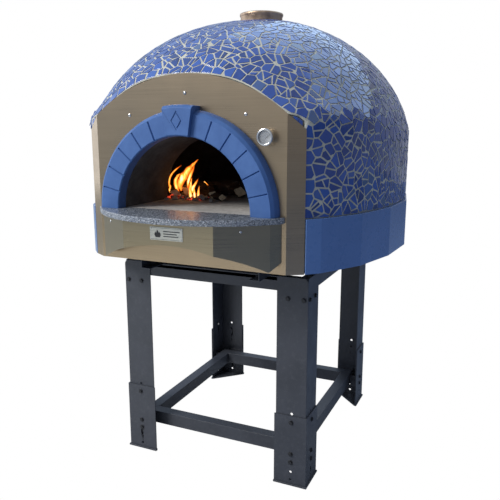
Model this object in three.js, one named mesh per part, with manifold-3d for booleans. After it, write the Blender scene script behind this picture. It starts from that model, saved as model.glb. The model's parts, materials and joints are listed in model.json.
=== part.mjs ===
// Wood fired pizza oven: a mosaic dome with a folded front, on a telescopic steel stand.
// Millimetres, +Z up, the mouth faces -Y. The floor is z = 0 and the whole oven is centred on the origin.
import * as THREE from 'three';
import { mergeVertices } from 'three/addons/utils/BufferGeometryUtils.js';
import Module from 'manifold-3d';

const wasm = await Module();
wasm.setup();

// ---------------------------------------------------------------- driving dimensions
const GAP = 0.3; // clearance between neighbouring pieces
const FAR = 3000; // longer than anything in the oven, for cutting tools

// Heights above the floor
const LEG_TOP = 918;
const BODY_BOTTOM = 973; // lower edge of the front sheet and of the skirt
const HEARTH = 1188; // cooking surface, level with the shelf
const SKIRT_TOP = 1179;

// Stand, half sizes in plan
const FOOT = { x: 450, y: 499, leg: 152, tip: 12, thick: 8 };
const SLEEVE = { x: 444.5, y: 493.5, flange: 144.5, thick: 5, top: 320 };
const LEG = { x: 439, y: 488, flange: 134, thick: 4, bottom: 178, chamfer: 12, chamferDrop: 15 };
const RING = { x: 401, y: 432, width: 52, wall: 3, bottom: 110, top: 170 };
const RAIL = { bottom: 856, top: 916, depth: 35, thick: 4, tab: 124, tabBottom: 800 };
const BEAM = { x: 230, width: 45, thick: 5, front: -600, rear: 690 };
const HOLE_FROM_CORNER = 63; // adjusting holes, measured from the outer corner of a leg
const HOLE_RADIUS = 6.5;
const HOLE_PITCH = 37; // one step of the height adjustment
const BOLT_HEIGHT = 290; // hole that locks the leg in its sleeve at the lowest setting
const LEG_HOLES = [1, 0, -1, -2].map((step) => BOLT_HEIGHT + step * HOLE_PITCH);
const SLEEVE_HOLES = [BOLT_HEIGHT, 145, 107, 62, 27];
const RAIL_SLOTS = [-328, -177, 177, 328];
const SLOT = { half: 12, deep: 20, below: 8, high: 9 }; // slots just under a rail's top edge
const BRACKET = { strip: 5, bottom: 95, top: 158, foot: 82, inner: 4, reach: 45, tail: 20 };

// Dome: a rounded plan, fuller at the front corners, on a short upright wall
const DOME = { a: 685, front: 907, rear: 638, y: 108, wallTop: 1466, top: 1990 };
const DOME_RISE = 1.6; // how the height falls off from the middle of the dome
const DOME_BULGE = 2.15; // how full the sides of the dome are
const REAR_FULLNESS = 2.2;
const FRONT_FULLNESS = 2.42;
const SHOULDER_FULLNESS = 0.23; // extra fullness where the dome meets the top of the front sheet
const DOME_COLUMNS = 36; // facets round the dome
const DOME_ROWS = 8; // facets from the top of its wall to the crown
const SKIN = 6; // mosaic tiles and their bed
const RENDER = 22; // cement shell under the mosaic
const SKIRT = { sheet: 2, throatDepth: 12, rearOffset: 18, rearFacets: 8, frontHalf: 473 };
const SKIRT_FOLDS = [[519, -590], [624, -404], [686, -168]]; // fold lines down one side
const BASE_SHEET = 5;

// Chamber of refractory concrete
const CHAMBER = { y: 55, radius: 500, wall: 70, springing: 1262, crown: 1668, floor: 60 };
const PASSAGE_REAR = CHAMBER.y - 250; // where the mouth passage has run into the chamber
const FLUE = { outer: 90, inner: 85, top: 2012 };
const COLLAR = { outer: 102, bottom: 1962, top: 2025 };

// Front: folded sheet, arch, shelf and apron
const FRONT_Y = -671.6;
const FRONT_SHEET = 2;
const FOLD_X = 411;
const WING = { x: 470, y: -636 };
const FRONT_ARC = { radius: 640, z: 1063.5 };
const MOUTH = { radius: 288, sheetRadius: 330, vault: 62 };
const ARCH = { rear: 387, face: 369, depth: 48.4, keystoneDepth: 66.4, keystoneTop: 402 };
const BLOCK_ANGLE = 13.6; // each voussoir, in degrees
const KEYSTONE_HALF_ANGLE = 9.3;
const GROOVE = { width: 7, depth: 6 };
const SHELF = { halfWidth: 405, front: -887, radius: 515, thick: 22 };
const APRON = {
  sheet: 2, front: -827, frontHalf: 193, side: -715, sideHalf: 366, endHalf: 394, top: 1165.7,
};
const APRON_ARCH = { radius: 760, top: 1079 };
const APRON_END = { corner: 990, rise: 0.651 };
const PLATE = { width: 140, height: 50, thick: 2, z: 1123 };
const SCREWS = [['left', -251, 1553], ['top', 0, 1633], ['right', 251, 1553]];
const SCREW = { head: 7, crown: 4, shank: 3, proud: 4 };
const GAUGE = {
  x: 337, z: 1473, radius: 28.5, inner: 26, depth: 28, floor: 6, bezel: 31, stem: 5, stemLength: 110,
};
const DIAL_THICK = 1;
const GLASS_THICK = 2;
const NEEDLE = { tip: 21, tail: 9, halfWidth: 1.4, hub: 3.2, thick: 1, standOff: 10, rest: 54 };

// The shelf reaches further forward than the skirt does rearward, so the model is centred between them
const REAR_Y = DOME.y + DOME.rear + SKIRT.rearOffset;
const CENTRE_SHIFT = -(SHELF.front + REAR_Y) / 2;

// ---------------------------------------------------------------- materials
function material(name, color, roughness, metalness) {
  return Object.assign(new THREE.MeshStandardMaterial({ color, roughness, metalness }), { name });
}

const standPaint = material('stand_paint', 0x3a3f4a, 0.55, 0.2);
const bluePaint = material('blue_paint', 0x4a72b8, 0.4, 0.1);
const archPaint = material('arch_paint', 0x5079b4, 0.6, 0);
const frontSheet = material('front_sheet', 0x93826b, 0.38, 0.9);
const mosaicTile = material('mosaic_tile', 0x2f5fc0, 0.15, 0);
const cement = material('cement_render', 0x9a9a96, 0.9, 0);
const blanket = material('ceramic_blanket', 0xdedbd2, 1, 0);
const refractory = material('refractory', 0x8d7f70, 0.9, 0);
const granite = material('granite', 0x8a8d92, 0.45, 0);
const fluesteel = material('flue_steel', 0x5b4a40, 0.5, 0.8);
const chrome = material('chrome', 0xd8dadd, 0.12, 1);
const blackPlastic = material('black_plastic', 0x17181a, 0.5, 0);
const dialWhite = material('dial_white', 0xe9e8e2, 0.6, 0);
const clearGlass = material('clear_glass', 0xffffff, 0.05, 0);

// ---------------------------------------------------------------- solids, cuts and joins
function toSolid(geometry) {
  const bare = new THREE.BufferGeometry();
  bare.setAttribute('position', geometry.getAttribute('position').clone());
  if (geometry.index) bare.setIndex(geometry.index.clone());
  const merged = mergeVertices(bare, 1e-4);
  const vertProperties = new Float32Array(merged.getAttribute('position').array);
  const triVerts = new Uint32Array(merged.index.array);
  return new wasm.Manifold(new wasm.Mesh({ numProp: 3, vertProperties, triVerts }));
}

function toGeometry(solid) {
  const mesh = solid.getMesh();
  const geometry = new THREE.BufferGeometry();
  geometry.setAttribute('position', new THREE.BufferAttribute(new Float32Array(mesh.vertProperties), 3));
  geometry.setIndex(new THREE.BufferAttribute(new Uint32Array(mesh.triVerts), 1));
  geometry.computeVertexNormals();
  return geometry;
}

function joinAll(solids) {
  return solids.reduce((sum, solid) => sum.add(solid));
}

function cutAll(solid, tools) {
  return tools.reduce((rest, tool) => rest.subtract(tool), solid);
}

function box(x0, x1, y0, y1, z0, z1) {
  const geometry = new THREE.BoxGeometry(x1 - x0, y1 - y0, z1 - z0);
  geometry.translate((x0 + x1) / 2, (y0 + y1) / 2, (z0 + z1) / 2);
  return toSolid(geometry);
}

// A plan outline, raised from z0 to z1
function prism(outline, z0, z1) {
  const shape = outline instanceof THREE.Shape ? outline : new THREE.Shape(outline);
  const options = { depth: z1 - z0, bevelEnabled: false, curveSegments: 16 };
  const geometry = new THREE.ExtrudeGeometry(shape, options);
  geometry.translate(0, 0, z0);
  return toSolid(geometry);
}

// A front view outline in X and Z, extruded along Y from y0 to y1
function frontPrism(outline, y0, y1) {
  const shape = outline instanceof THREE.Shape ? outline : new THREE.Shape(outline);
  const options = { depth: y1 - y0, bevelEnabled: false, curveSegments: 24 };
  const geometry = new THREE.ExtrudeGeometry(shape, options);
  geometry.rotateX(Math.PI / 2);
  geometry.translate(0, y1, 0);
  return toSolid(geometry);
}

// A closed section turned about an upright axis; points are [radius, z]
function turned(points, segments, x = 0, y = 0) {
  const profile = points.map(([r, z]) => new THREE.Vector2(r, z));
  const geometry = new THREE.LatheGeometry(profile, segments);
  geometry.rotateX(Math.PI / 2);
  geometry.translate(x, y, 0);
  return outward(toSolid(geometry), geometry);
}

// A closed section turned about an axis along Y; points are [radius, y]
function turnedAlongY(points, segments, x, z) {
  const profile = points.map(([r, y]) => new THREE.Vector2(r, y));
  const geometry = new THREE.LatheGeometry(profile, segments);
  geometry.translate(x, 0, z);
  return outward(toSolid(geometry), geometry);
}

// A section drawn the other way round turns into an inside-out solid, so its faces are flipped
function outward(solid, geometry) {
  if (solid.volume() > 0) return solid;
  const index = geometry.index.array;
  for (let i = 0; i < index.length; i += 3) [index[i], index[i + 1]] = [index[i + 1], index[i]];
  return toSolid(geometry);
}

function rod(radius, x, z, y0, y1, segments = 12) {
  return turnedAlongY([[0, y0], [radius, y0], [radius, y1], [0, y1]], segments, x, z);
}

function disc(radius, x, y, z0, z1, segments) {
  return turned([[0, z0], [radius, z0], [radius, z1], [0, z1]], segments, x, y);
}

const object = new THREE.Group();
object.position.y = CENTRE_SHIFT;

function part(name, solid, look) {
  const mesh = new THREE.Mesh(toGeometry(solid), look);
  mesh.name = name;
  object.add(mesh);
}

// The four corners of the stand: name and which way its outside faces
const CORNERS = [['front_left', -1, -1], ['front_right', 1, -1], ['rear_left', -1, 1], ['rear_right', 1, 1]];

function mirrored(outline, sx, sy) {
  return outline.map(([x, y]) => new THREE.Vector2(sx * x, sy * y));
}

// ---------------------------------------------------------------- stand
function footPlate(sx, sy) {
  const { x, y, leg, tip, thick } = FOOT;
  const outline = [[x, y], [x - leg, y], [x - leg, y - tip], [x - tip, y - leg], [x, y - leg]];
  return prism(mirrored(outline, sx, sy), 0, thick);
}

function angleSection({ x, y, flange, thick }, sx, sy, z0, z1) {
  const outline = [[x, y], [x - flange, y], [x - flange, y - thick], [x - thick, y - thick],
    [x - thick, y - flange], [x, y - flange]];
  return prism(mirrored(outline, sx, sy), z0, z1);
}

function cornerHoles(sx, sy, heights) {
  const column = sx * (LEG.x - HOLE_FROM_CORNER);
  const along = (radius, z) => rod(radius, column, z, sy * LEG.y - 20, sy * LEG.y + 20, 8);
  const across = (radius, z) => {
    const geometry = new THREE.CylinderGeometry(radius, radius, 40, 8);
    geometry.rotateZ(Math.PI / 2);
    geometry.translate(sx * LEG.x, sy * (LEG.y - HOLE_FROM_CORNER), z);
    return toSolid(geometry);
  };
  return heights.flatMap((z) => [along(HOLE_RADIUS, z), across(HOLE_RADIUS, z)]);
}

function legSleeve(sx, sy) {
  const section = angleSection(SLEEVE, sx, sy, FOOT.thick + GAP, SLEEVE.top);
  return cutAll(section, cornerHoles(sx, sy, SLEEVE_HOLES));
}

function upperLeg(sx, sy) {
  const { x, y, chamfer, chamferDrop } = LEG;
  const section = angleSection(LEG, sx, sy, LEG.bottom, LEG_TOP);
  const drilled = cutAll(section, cornerHoles(sx, sy, LEG_HOLES));
  const normal = new THREE.Vector3(-sx / chamfer, -sy / chamfer, -1 / chamferDrop);
  const point = new THREE.Vector3(sx * (x - chamfer), sy * y, LEG_TOP);
  const scale = 1 / normal.length();
  return drilled.trimByPlane(normal.toArray(), normal.dot(point) * scale);
}

// A square tube of the lower ring with mitred ends; axis is 'x' for front and rear, 'y' for the sides
function ringTube(axis, side) {
  const { x, y, width, wall, bottom, top } = RING;
  const shell = (inset) => {
    const z = [bottom + inset, top - inset];
    if (axis === 'x') {
      const span = [side * (y - inset), side * (y - width + inset)].sort((p, q) => p - q);
      return box(-x - inset * 9, x + inset * 9, ...span, ...z);
    }
    const span = [side * (x - inset), side * (x - width + inset)].sort((p, q) => p - q);
    return box(...span, -y - inset * 9, y + inset * 9, ...z);
  };
  const tube = shell(0).subtract(shell(wall));
  const clear = GAP / Math.SQRT2 / 2;
  return [-1, 1].reduce((rest, end) => {
    const facing = axis === 'x' ? [-end, side, 0] : [side, -end, 0];
    const corner = axis === 'x' ? [end * x, side * y] : [side * x, end * y];
    const normal = new THREE.Vector3(...facing).normalize();
    return rest.trimByPlane(normal.toArray(), normal.x * corner[0] + normal.y * corner[1] + clear);
  }, tube);
}

// A bent strip that holds a corner of the ring off the two flanges of its sleeve
function ringBracket(sx, sy) {
  const { strip, bottom, top, foot, inner, reach, tail } = BRACKET;
  const [ringX, ringY] = [RING.x + GAP, RING.y + GAP];
  const [flangeX, flangeY] = [SLEEVE.x - SLEEVE.thick - GAP, SLEEVE.y - SLEEVE.thick - GAP];
  const pieces = [
    [ringX - foot, ringX - inner, flangeY - strip, flangeY],
    [ringX - inner - strip, ringX - inner, ringY, flangeY],
    [ringX - reach, ringX + strip, ringY, ringY + strip],
    [ringX, ringX + strip, ringY - reach, ringY + strip],
    [ringX, flangeX, ringY - reach, ringY - reach + strip],
    [flangeX - strip, flangeX, ringY - reach, ringY + tail],
  ];
  return joinAll(pieces.map(([x0, x1, y0, y1]) => {
    const outline = [[x0, y0], [x1, y0], [x1, y1], [x0, y1]];
    return prism(mirrored(outline, sx, sy), bottom, top);
  }));
}

// Front and rear rails: a channel with two tabs that hang down inside the legs
function crossRail(sy) {
  const { bottom, top, depth, thick, tab, tabBottom } = RAIL;
  const halfLength = LEG.x - LEG.thick - GAP;
  const face = LEG.y - LEG.thick - GAP;
  const slab = (x0, x1, back, z0, z1) => {
    const [y0, y1] = [sy * face, sy * (face - back)].sort((p, q) => p - q);
    return box(x0, x1, y0, y1, z0, z1);
  };
  const channel = joinAll([
    slab(-halfLength, halfLength, thick, bottom, top),
    slab(-halfLength, halfLength, depth, bottom, bottom + thick),
    slab(-halfLength, halfLength, depth, top - thick, top),
    slab(-halfLength, -halfLength + tab, thick, tabBottom, bottom + thick),
    slab(halfLength - tab, halfLength, thick, tabBottom, bottom + thick),
  ]);
  const slotTop = top - SLOT.below;
  const slot = (x) => slab(x - SLOT.half, x + SLOT.half, SLOT.deep, slotTop - SLOT.high, slotTop);
  return cutAll(channel, RAIL_SLOTS.map(slot));
}

// Side rails fit between the front and the rear rail; their tabs pass under them
function sideRail(sx) {
  const { bottom, top, depth, thick, tab, tabBottom } = RAIL;
  const face = LEG.x - LEG.thick - GAP;
  const crossFace = LEG.y - LEG.thick - GAP;
  const half = crossFace - depth - GAP;
  const tabEnd = crossFace - thick - GAP;
  const slab = (back, y0, y1, z0, z1) => {
    const [x0, x1] = [sx * face, sx * (face - back)].sort((p, q) => p - q);
    return box(x0, x1, y0, y1, z0, z1);
  };
  return joinAll([
    slab(thick, -half, half, bottom, top),
    slab(depth, -half, half, bottom, bottom + thick),
    slab(depth, -half, half, top - thick, top),
    slab(thick, -tabEnd, -tabEnd + tab, tabBottom, bottom - GAP),
    slab(thick, tabEnd - tab, tabEnd, tabBottom, bottom - GAP),
    slab(thick, -half, -tabEnd + tab, bottom - thick, bottom + thick),
    slab(thick, tabEnd - tab, half, bottom - thick, bottom + thick),
  ]);
}

// Channel under the base plate, open towards the middle of the stand
function baseBeam(sx) {
  const { x, width, thick, front, rear } = BEAM;
  const [low, high] = [RAIL.top + GAP, BODY_BOTTOM - GAP];
  const slab = (x0, x1, z0, z1) => {
    const [p, q] = [sx * x0, sx * x1].sort((a, b) => a - b);
    return box(p, q, front, rear, z0, z1);
  };
  return joinAll([
    slab(x + width - thick, x + width, low, high),
    slab(x, x + width, low, low + thick),
    slab(x, x + width, high - thick, high),
  ]);
}

function buildStand() {
  for (const [corner, sx, sy] of CORNERS) {
    part(`foot_plate_${corner}`, footPlate(sx, sy), standPaint);
    part(`leg_sleeve_${corner}`, legSleeve(sx, sy), standPaint);
    part(`ring_bracket_${corner}`, ringBracket(sx, sy), standPaint);
    part(`upper_leg_${corner}`, upperLeg(sx, sy), standPaint);
  }
  part('ring_tube_front', ringTube('x', -1), standPaint);
  part('ring_tube_rear', ringTube('x', 1), standPaint);
  part('ring_tube_left', ringTube('y', -1), standPaint);
  part('ring_tube_right', ringTube('y', 1), standPaint);
  part('top_rail_front', crossRail(-1), standPaint);
  part('top_rail_rear', crossRail(1), standPaint);
  part('top_rail_left', sideRail(-1), standPaint);
  part('top_rail_right', sideRail(1), standPaint);
  part('base_beam_left', baseBeam(-1), standPaint);
  part('base_beam_right', baseBeam(1), standPaint);
}

// ---------------------------------------------------------------- dome
// One point of the dome's plan at angle t (0 is +X, a quarter turn is the rear), scaled by k
function planPoint(t, inset, k, fullness) {
  const [c, s] = [Math.cos(t), Math.sin(t)];
  const n = s < 0 ? fullness : REAR_FULLNESS;
  const depth = (s < 0 ? DOME.front : DOME.rear) - inset;
  const curve = (value) => Math.sign(value) * Math.abs(value) ** (2 / n);
  return [k * (DOME.a - inset) * curve(c), DOME.y + k * depth * curve(s)];
}

// How full the front corners are at height u (0 at the top of the wall, 1 at the crown)
function frontFullness(u) {
  return FRONT_FULLNESS + SHOULDER_FULLNESS * Math.exp(-(((u - 0.15) / 0.09) ** 2));
}

// A solid dome whose surface lies inset inside the finished one
function domeSolid(inset, bottom, columns = DOME_COLUMNS, rows = DOME_ROWS) {
  const rings = [[bottom, 1, 0]];
  for (let i = 0; i < rows; i += 1) {
    const k = Math.cos((i / rows) * (Math.PI / 2));
    const u = (1 - k ** DOME_BULGE) ** (1 / DOME_RISE);
    rings.push([DOME.wallTop + (DOME.top - inset - DOME.wallTop) * u, k, u]);
  }
  const position = [];
  for (const [z, k, u] of rings) {
    for (let j = 0; j < columns; j += 1) {
      const [x, y] = planPoint((j / columns) * 2 * Math.PI, inset, k, frontFullness(u));
      position.push(x, y, z);
    }
  }
  const base = rings.length * columns;
  position.push(0, DOME.y, bottom, 0, DOME.y, DOME.top - inset);
  const index = [];
  for (let j = 0; j < columns; j += 1) {
    const next = (j + 1) % columns;
    index.push(base, next, j);
    for (let i = 0; i < rings.length - 1; i += 1) {
      const [low, high] = [i * columns, (i + 1) * columns];
      index.push(low + j, low + next, high + next, low + j, high + next, high + j);
    }
    const last = (rings.length - 1) * columns;
    index.push(last + j, last + next, base + 1);
  }
  const geometry = new THREE.BufferGeometry();
  geometry.setAttribute('position', new THREE.Float32BufferAttribute(position, 3));
  geometry.setIndex(index);
  return toSolid(geometry);
}

// Keeps what lies behind the folded front sheet, with a clearance to it
function behindFront(solid, clearance = FRONT_SHEET + GAP) {
  const flat = solid.trimByPlane([0, 1, 0], FRONT_Y + clearance);
  const along = new THREE.Vector2(WING.x - FOLD_X, WING.y - FRONT_Y).normalize();
  return [-1, 1].reduce((rest, side) => {
    const normal = [-side * along.y, along.x, 0];
    return rest.trimByPlane(normal, normal[0] * side * FOLD_X + normal[1] * FRONT_Y + clearance);
  }, flat);
}

function basePlate() {
  const outline = planOutline(SKIN + GAP);
  return behindFront(prism(outline, BODY_BOTTOM + GAP, BODY_BOTTOM + BASE_SHEET));
}

function planOutline(inset, columns = DOME_COLUMNS) {
  const points = [];
  for (let j = 0; j < columns; j += 1) {
    const [x, y] = planPoint((j / columns) * 2 * Math.PI, inset, 1, frontFullness(0));
    points.push(new THREE.Vector2(x, y));
  }
  return points;
}

// The skirt is folded from sheet into flat facets: four down each side and eight round the rear
function skirtOutline(inset) {
  const side = [[SKIRT.frontHalf, WING.y], ...SKIRT_FOLDS];
  const rear = [];
  for (let i = 0; i <= SKIRT.rearFacets; i += 1) {
    rear.push(planPoint((i / SKIRT.rearFacets) * Math.PI, -SKIRT.rearOffset, 1, FRONT_FULLNESS));
  }
  const left = side.map(([x, y]) => [-x, y]).reverse();
  const front = [[-SKIRT.frontHalf, WING.y - 60], [SKIRT.frontHalf, WING.y - 60]];
  const shrink = (DOME.a - inset) / DOME.a;
  const closed = [...side, ...rear, ...left, ...front];
  return closed.map(([x, y]) => new THREE.Vector2(x * shrink, DOME.y + (y - DOME.y) * shrink));
}

function skirt() {
  const outer = prism(skirtOutline(0), BODY_BOTTOM, SKIRT_TOP);
  const inner = prism(skirtOutline(SKIRT.sheet), BODY_BOTTOM - 1, SKIRT_TOP - SKIRT.sheet);
  const throat = prism(planOutline(SKIN - GAP), SKIRT_TOP - SKIRT.throatDepth, SKIRT_TOP + 1);
  const ring = outer.subtract(inner).subtract(throat);
  return ring.trimByPlane([0, 1, 0], WING.y + FRONT_SHEET + GAP);
}

// ---------------------------------------------------------------- chamber
// Half outline of the vault: radius and height from the springing to the crown
function vaultCurve(radius, crown, steps) {
  const points = [];
  for (let i = 0; i <= steps; i += 1) {
    const angle = (i / steps) * (Math.PI / 2);
    const rise = (crown - CHAMBER.springing) * Math.sin(angle);
    points.push([radius * Math.cos(angle), CHAMBER.springing + rise]);
  }
  return points;
}

function vaultSolid(radius, crown, bottom) {
  const curve = vaultCurve(radius, crown, 7);
  curve[curve.length - 1][0] = 0;
  return turned([[0, bottom], [radius, bottom], ...curve], 36, 0, CHAMBER.y);
}

// The mouth passage as a front view outline: upright sides and a half round top
function mouthOutline(radius, bottom) {
  const shape = new THREE.Shape();
  shape.moveTo(radius, bottom);
  shape.lineTo(radius, HEARTH);
  shape.absarc(0, HEARTH, radius, 0, Math.PI, false);
  shape.lineTo(-radius, bottom);
  return shape;
}

const SLAB_TOP = HEARTH - CHAMBER.floor;

function refractoryDome(flueHole) {
  const outer = vaultSolid(CHAMBER.radius + CHAMBER.wall, CHAMBER.crown + CHAMBER.wall, SLAB_TOP);
  const inner = vaultSolid(CHAMBER.radius, CHAMBER.crown, SLAB_TOP - 1);
  const opening = frontPrism(mouthOutline(MOUTH.radius + MOUTH.vault + GAP, SLAB_TOP - 1), -FAR, CHAMBER.y);
  return cutAll(outer, [inner, opening, flueHole]);
}

function mouthVault() {
  const outer = frontPrism(mouthOutline(MOUTH.radius + MOUTH.vault, SLAB_TOP), -FAR, PASSAGE_REAR);
  const inner = frontPrism(mouthOutline(MOUTH.radius, SLAB_TOP - 1), -FAR, FAR);
  const chamber = vaultSolid(CHAMBER.radius, CHAMBER.crown, SLAB_TOP - 1);
  return behindFront(cutAll(outer, [inner, chamber]));
}

function insulationBlanket(flueHole) {
  const outer = domeSolid(SKIN + RENDER + GAP, SLAB_TOP + GAP);
  const around = CHAMBER.wall + GAP;
  const core = vaultSolid(CHAMBER.radius + around, CHAMBER.crown + around, SLAB_TOP - 1);
  const passage = frontPrism(mouthOutline(MOUTH.radius + MOUTH.vault + GAP, SLAB_TOP - 1), -FAR, CHAMBER.y);
  const stem = rod(GAUGE.stem + GAP, GAUGE.x, GAUGE.z, -FAR, FRONT_Y + GAUGE.stemLength + 2 * GAP);
  return behindFront(cutAll(outer, [core, passage, flueHole, stem]));
}

function buildBody() {
  const flueHole = disc(FLUE.outer + GAP, 0, CHAMBER.y, HEARTH, FAR, 24);
  const collarHole = disc(COLLAR.outer + GAP, 0, CHAMBER.y, HEARTH, FAR, 24);
  const innerFace = domeSolid(SKIN + RENDER, BODY_BOTTOM);
  const skinBack = domeSolid(SKIN, BODY_BOTTOM);
  const renderFace = domeSolid(SKIN + GAP, BODY_BOTTOM + BASE_SHEET + GAP);
  part('base_plate', basePlate(), standPaint);
  part('skirt', skirt(), bluePaint);
  part('floor_insulation', floorInsulation(), blanket);
  part('insulation_blanket', insulationBlanket(flueHole), blanket);
  part('cement_shell', behindFront(cutAll(renderFace, [innerFace, collarHole])), cement);
  const skin = cutAll(domeSolid(0, SKIRT_TOP + GAP), [skinBack, collarHole]);
  part('mosaic_skin', behindFront(skin), mosaicTile);
  part('refractory_dome', refractoryDome(flueHole), refractory);
  part('mouth_vault', mouthVault(), refractory);
  buildHearth();
  buildFlue();
}

function floorInsulation() {
  const outline = planOutline(SKIN + RENDER + GAP);
  return behindFront(prism(outline, BODY_BOTTOM + BASE_SHEET + GAP, SLAB_TOP - GAP));
}

// Four quadrant slabs in the chamber and one slab through the mouth
function buildHearth() {
  const round = disc(CHAMBER.radius - GAP, 0, CHAMBER.y, SLAB_TOP, HEARTH, 36);
  for (const [corner, sx, sy] of CORNERS) {
    const quadrant = round.trimByPlane([sx, 0, 0], GAP).trimByPlane([0, sy, 0], sy * CHAMBER.y + GAP);
    part(`hearth_slab_${corner}`, quadrant, refractory);
  }
  const halfWidth = MOUTH.radius - GAP;
  const strip = box(-halfWidth, halfWidth, FRONT_Y + FRONT_SHEET + GAP, PASSAGE_REAR, SLAB_TOP, HEARTH);
  const chamber = disc(CHAMBER.radius, 0, CHAMBER.y, SLAB_TOP - 1, HEARTH + 1, 36);
  part('mouth_slab', strip.subtract(chamber), refractory);
}

function buildFlue() {
  const { outer, inner, top } = FLUE;
  const bottom = CHAMBER.crown - 6;
  const wall = [[inner, bottom], [outer, bottom], [outer, top], [inner, top], [inner, bottom]];
  part('flue_duct', turned(wall, 24, 0, CHAMBER.y), fluesteel);
  const rim = COLLAR.top;
  const bore = outer + GAP;
  const section = [[bore, COLLAR.bottom], [COLLAR.outer, COLLAR.bottom], [COLLAR.outer, rim - 3],
    [COLLAR.outer - 3, rim], [bore, rim], [bore, COLLAR.bottom]];
  part('flue_collar', turned(section, 24, 0, CHAMBER.y), fluesteel);
}

// ---------------------------------------------------------------- front
function frontPanel() {
  const rear = FRONT_Y + FRONT_SHEET;
  const bend = FRONT_SHEET * 0.27;
  const [backX, backY] = [WING.x - FRONT_SHEET * 0.52, WING.y + FRONT_SHEET * 0.86];
  const plan = [[-WING.x, WING.y], [-FOLD_X, FRONT_Y], [FOLD_X, FRONT_Y], [WING.x, WING.y], [backX, backY],
    [FOLD_X - bend, rear], [-FOLD_X + bend, rear], [-backX, backY]];
  const corners = plan.map(([x, y]) => new THREE.Vector2(x, y));
  const sheet = prism(corners, BODY_BOTTOM, FRONT_ARC.z + FRONT_ARC.radius);
  const angle = Math.acos((WING.x + 1) / FRONT_ARC.radius);
  const outline = new THREE.Shape();
  outline.moveTo(-WING.x - 1, 0);
  outline.lineTo(WING.x + 1, 0);
  outline.absarc(0, FRONT_ARC.z, FRONT_ARC.radius, angle, Math.PI - angle, false);
  const arched = sheet.intersect(frontPrism(outline, -FAR, FAR));
  const mouth = frontPrism(mouthOutline(MOUTH.sheetRadius, HEARTH - 0.1), -FAR, 0);
  const stem = rod(GAUGE.stem + GAP, GAUGE.x, GAUGE.z, -FAR, 0);
  const screwHoles = SCREWS.map(([, x, z]) => rod(SCREW.shank + GAP, x, z, -FAR, 0));
  return cutAll(arched, [mouth, stem, ...screwHoles]);
}

// A full ring of the arch; points of its section are [radius, depth in front of the sheet]
function archRing(section) {
  const rear = FRONT_Y - GAP;
  const closed = [...section, section[0]].map(([r, depth]) => [r, rear - depth]);
  return turnedAlongY(closed, 80, 0, HEARTH);
}

function radialCut(solid, degrees, keep) {
  const angle = THREE.MathUtils.degToRad(degrees);
  const normal = [-keep * Math.sin(angle), 0, keep * Math.cos(angle)];
  return solid.trimByPlane(normal, normal[2] * HEARTH);
}

// V groove across the face of the arch at an angle from the hearth
function archGroove(degrees) {
  const face = FRONT_Y - GAP - ARCH.depth;
  const half = GROOVE.width / 2;
  const tip = face + GROOVE.depth;
  const outline = [[-half, face - 1], [half, face - 1], [half, face], [0, tip], [-half, face]];
  const groove = prism(outline.map(([x, y]) => new THREE.Vector2(x, y)), MOUTH.radius - 5, ARCH.face - 3);
  const geometry = toGeometry(groove);
  geometry.rotateY(THREE.MathUtils.degToRad(90 - degrees));
  geometry.translate(0, 0, HEARTH);
  return toSolid(geometry);
}

function archHalf(side) {
  const { rear, face, depth } = ARCH;
  const ring = archRing([[MOUTH.radius, 0], [MOUTH.radius, depth - 4], [MOUTH.radius + 4, depth],
    [face, depth], [face + 11, depth - 12], [rear - 1, depth - 28], [rear, 0]]);
  const above = ring.trimByPlane([0, 0, 1], HEARTH + GAP);
  const spring = 90 - side * (KEYSTONE_HALF_ANGLE + 0.05);
  const half = radialCut(above, spring, -side);
  const grooves = [1, 2, 3, 4, 5].map((i) => archGroove(side > 0 ? i * BLOCK_ANGLE : 180 - i * BLOCK_ANGLE));
  return cutAll(half, grooves);
}

// The keystone carries an incised lozenge
function keystone() {
  const depth = ARCH.keystoneDepth;
  const top = ARCH.keystoneTop;
  const ring = archRing([[MOUTH.radius - 1, 0], [MOUTH.radius - 1, depth - 5], [MOUTH.radius + 4, depth],
    [top - 12, depth], [top - 3, depth - 9], [top, depth - 20], [top, 0]]);
  const above = ring.trimByPlane([0, 0, 1], HEARTH + MOUTH.radius / 2);
  const wedge = radialCut(radialCut(above, 90 - KEYSTONE_HALF_ANGLE, 1), 90 + KEYSTONE_HALF_ANGLE, -1);
  const face = FRONT_Y - GAP - depth;
  const middle = HEARTH + (MOUTH.radius + top) / 2 - 2;
  const lozenge = (w, h) => frontPrism([[w, middle], [0, middle + h], [-w, middle], [0, middle - h]]
    .map(([x, z]) => new THREE.Vector2(x, z)), face - 1, face + 3);
  return wedge.subtract(lozenge(24, 36).subtract(lozenge(18, 27)));
}

function shelf() {
  const { halfWidth, front, radius, thick } = SHELF;
  const centreY = front + radius;
  const angle = Math.acos(halfWidth / radius);
  const shape = new THREE.Shape();
  shape.moveTo(halfWidth, FRONT_Y - GAP);
  shape.lineTo(-halfWidth, FRONT_Y - GAP);
  shape.absarc(0, centreY, radius, Math.PI + angle, 2 * Math.PI - angle, false);
  return prism(shape, HEARTH - thick, HEARTH);
}

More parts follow.
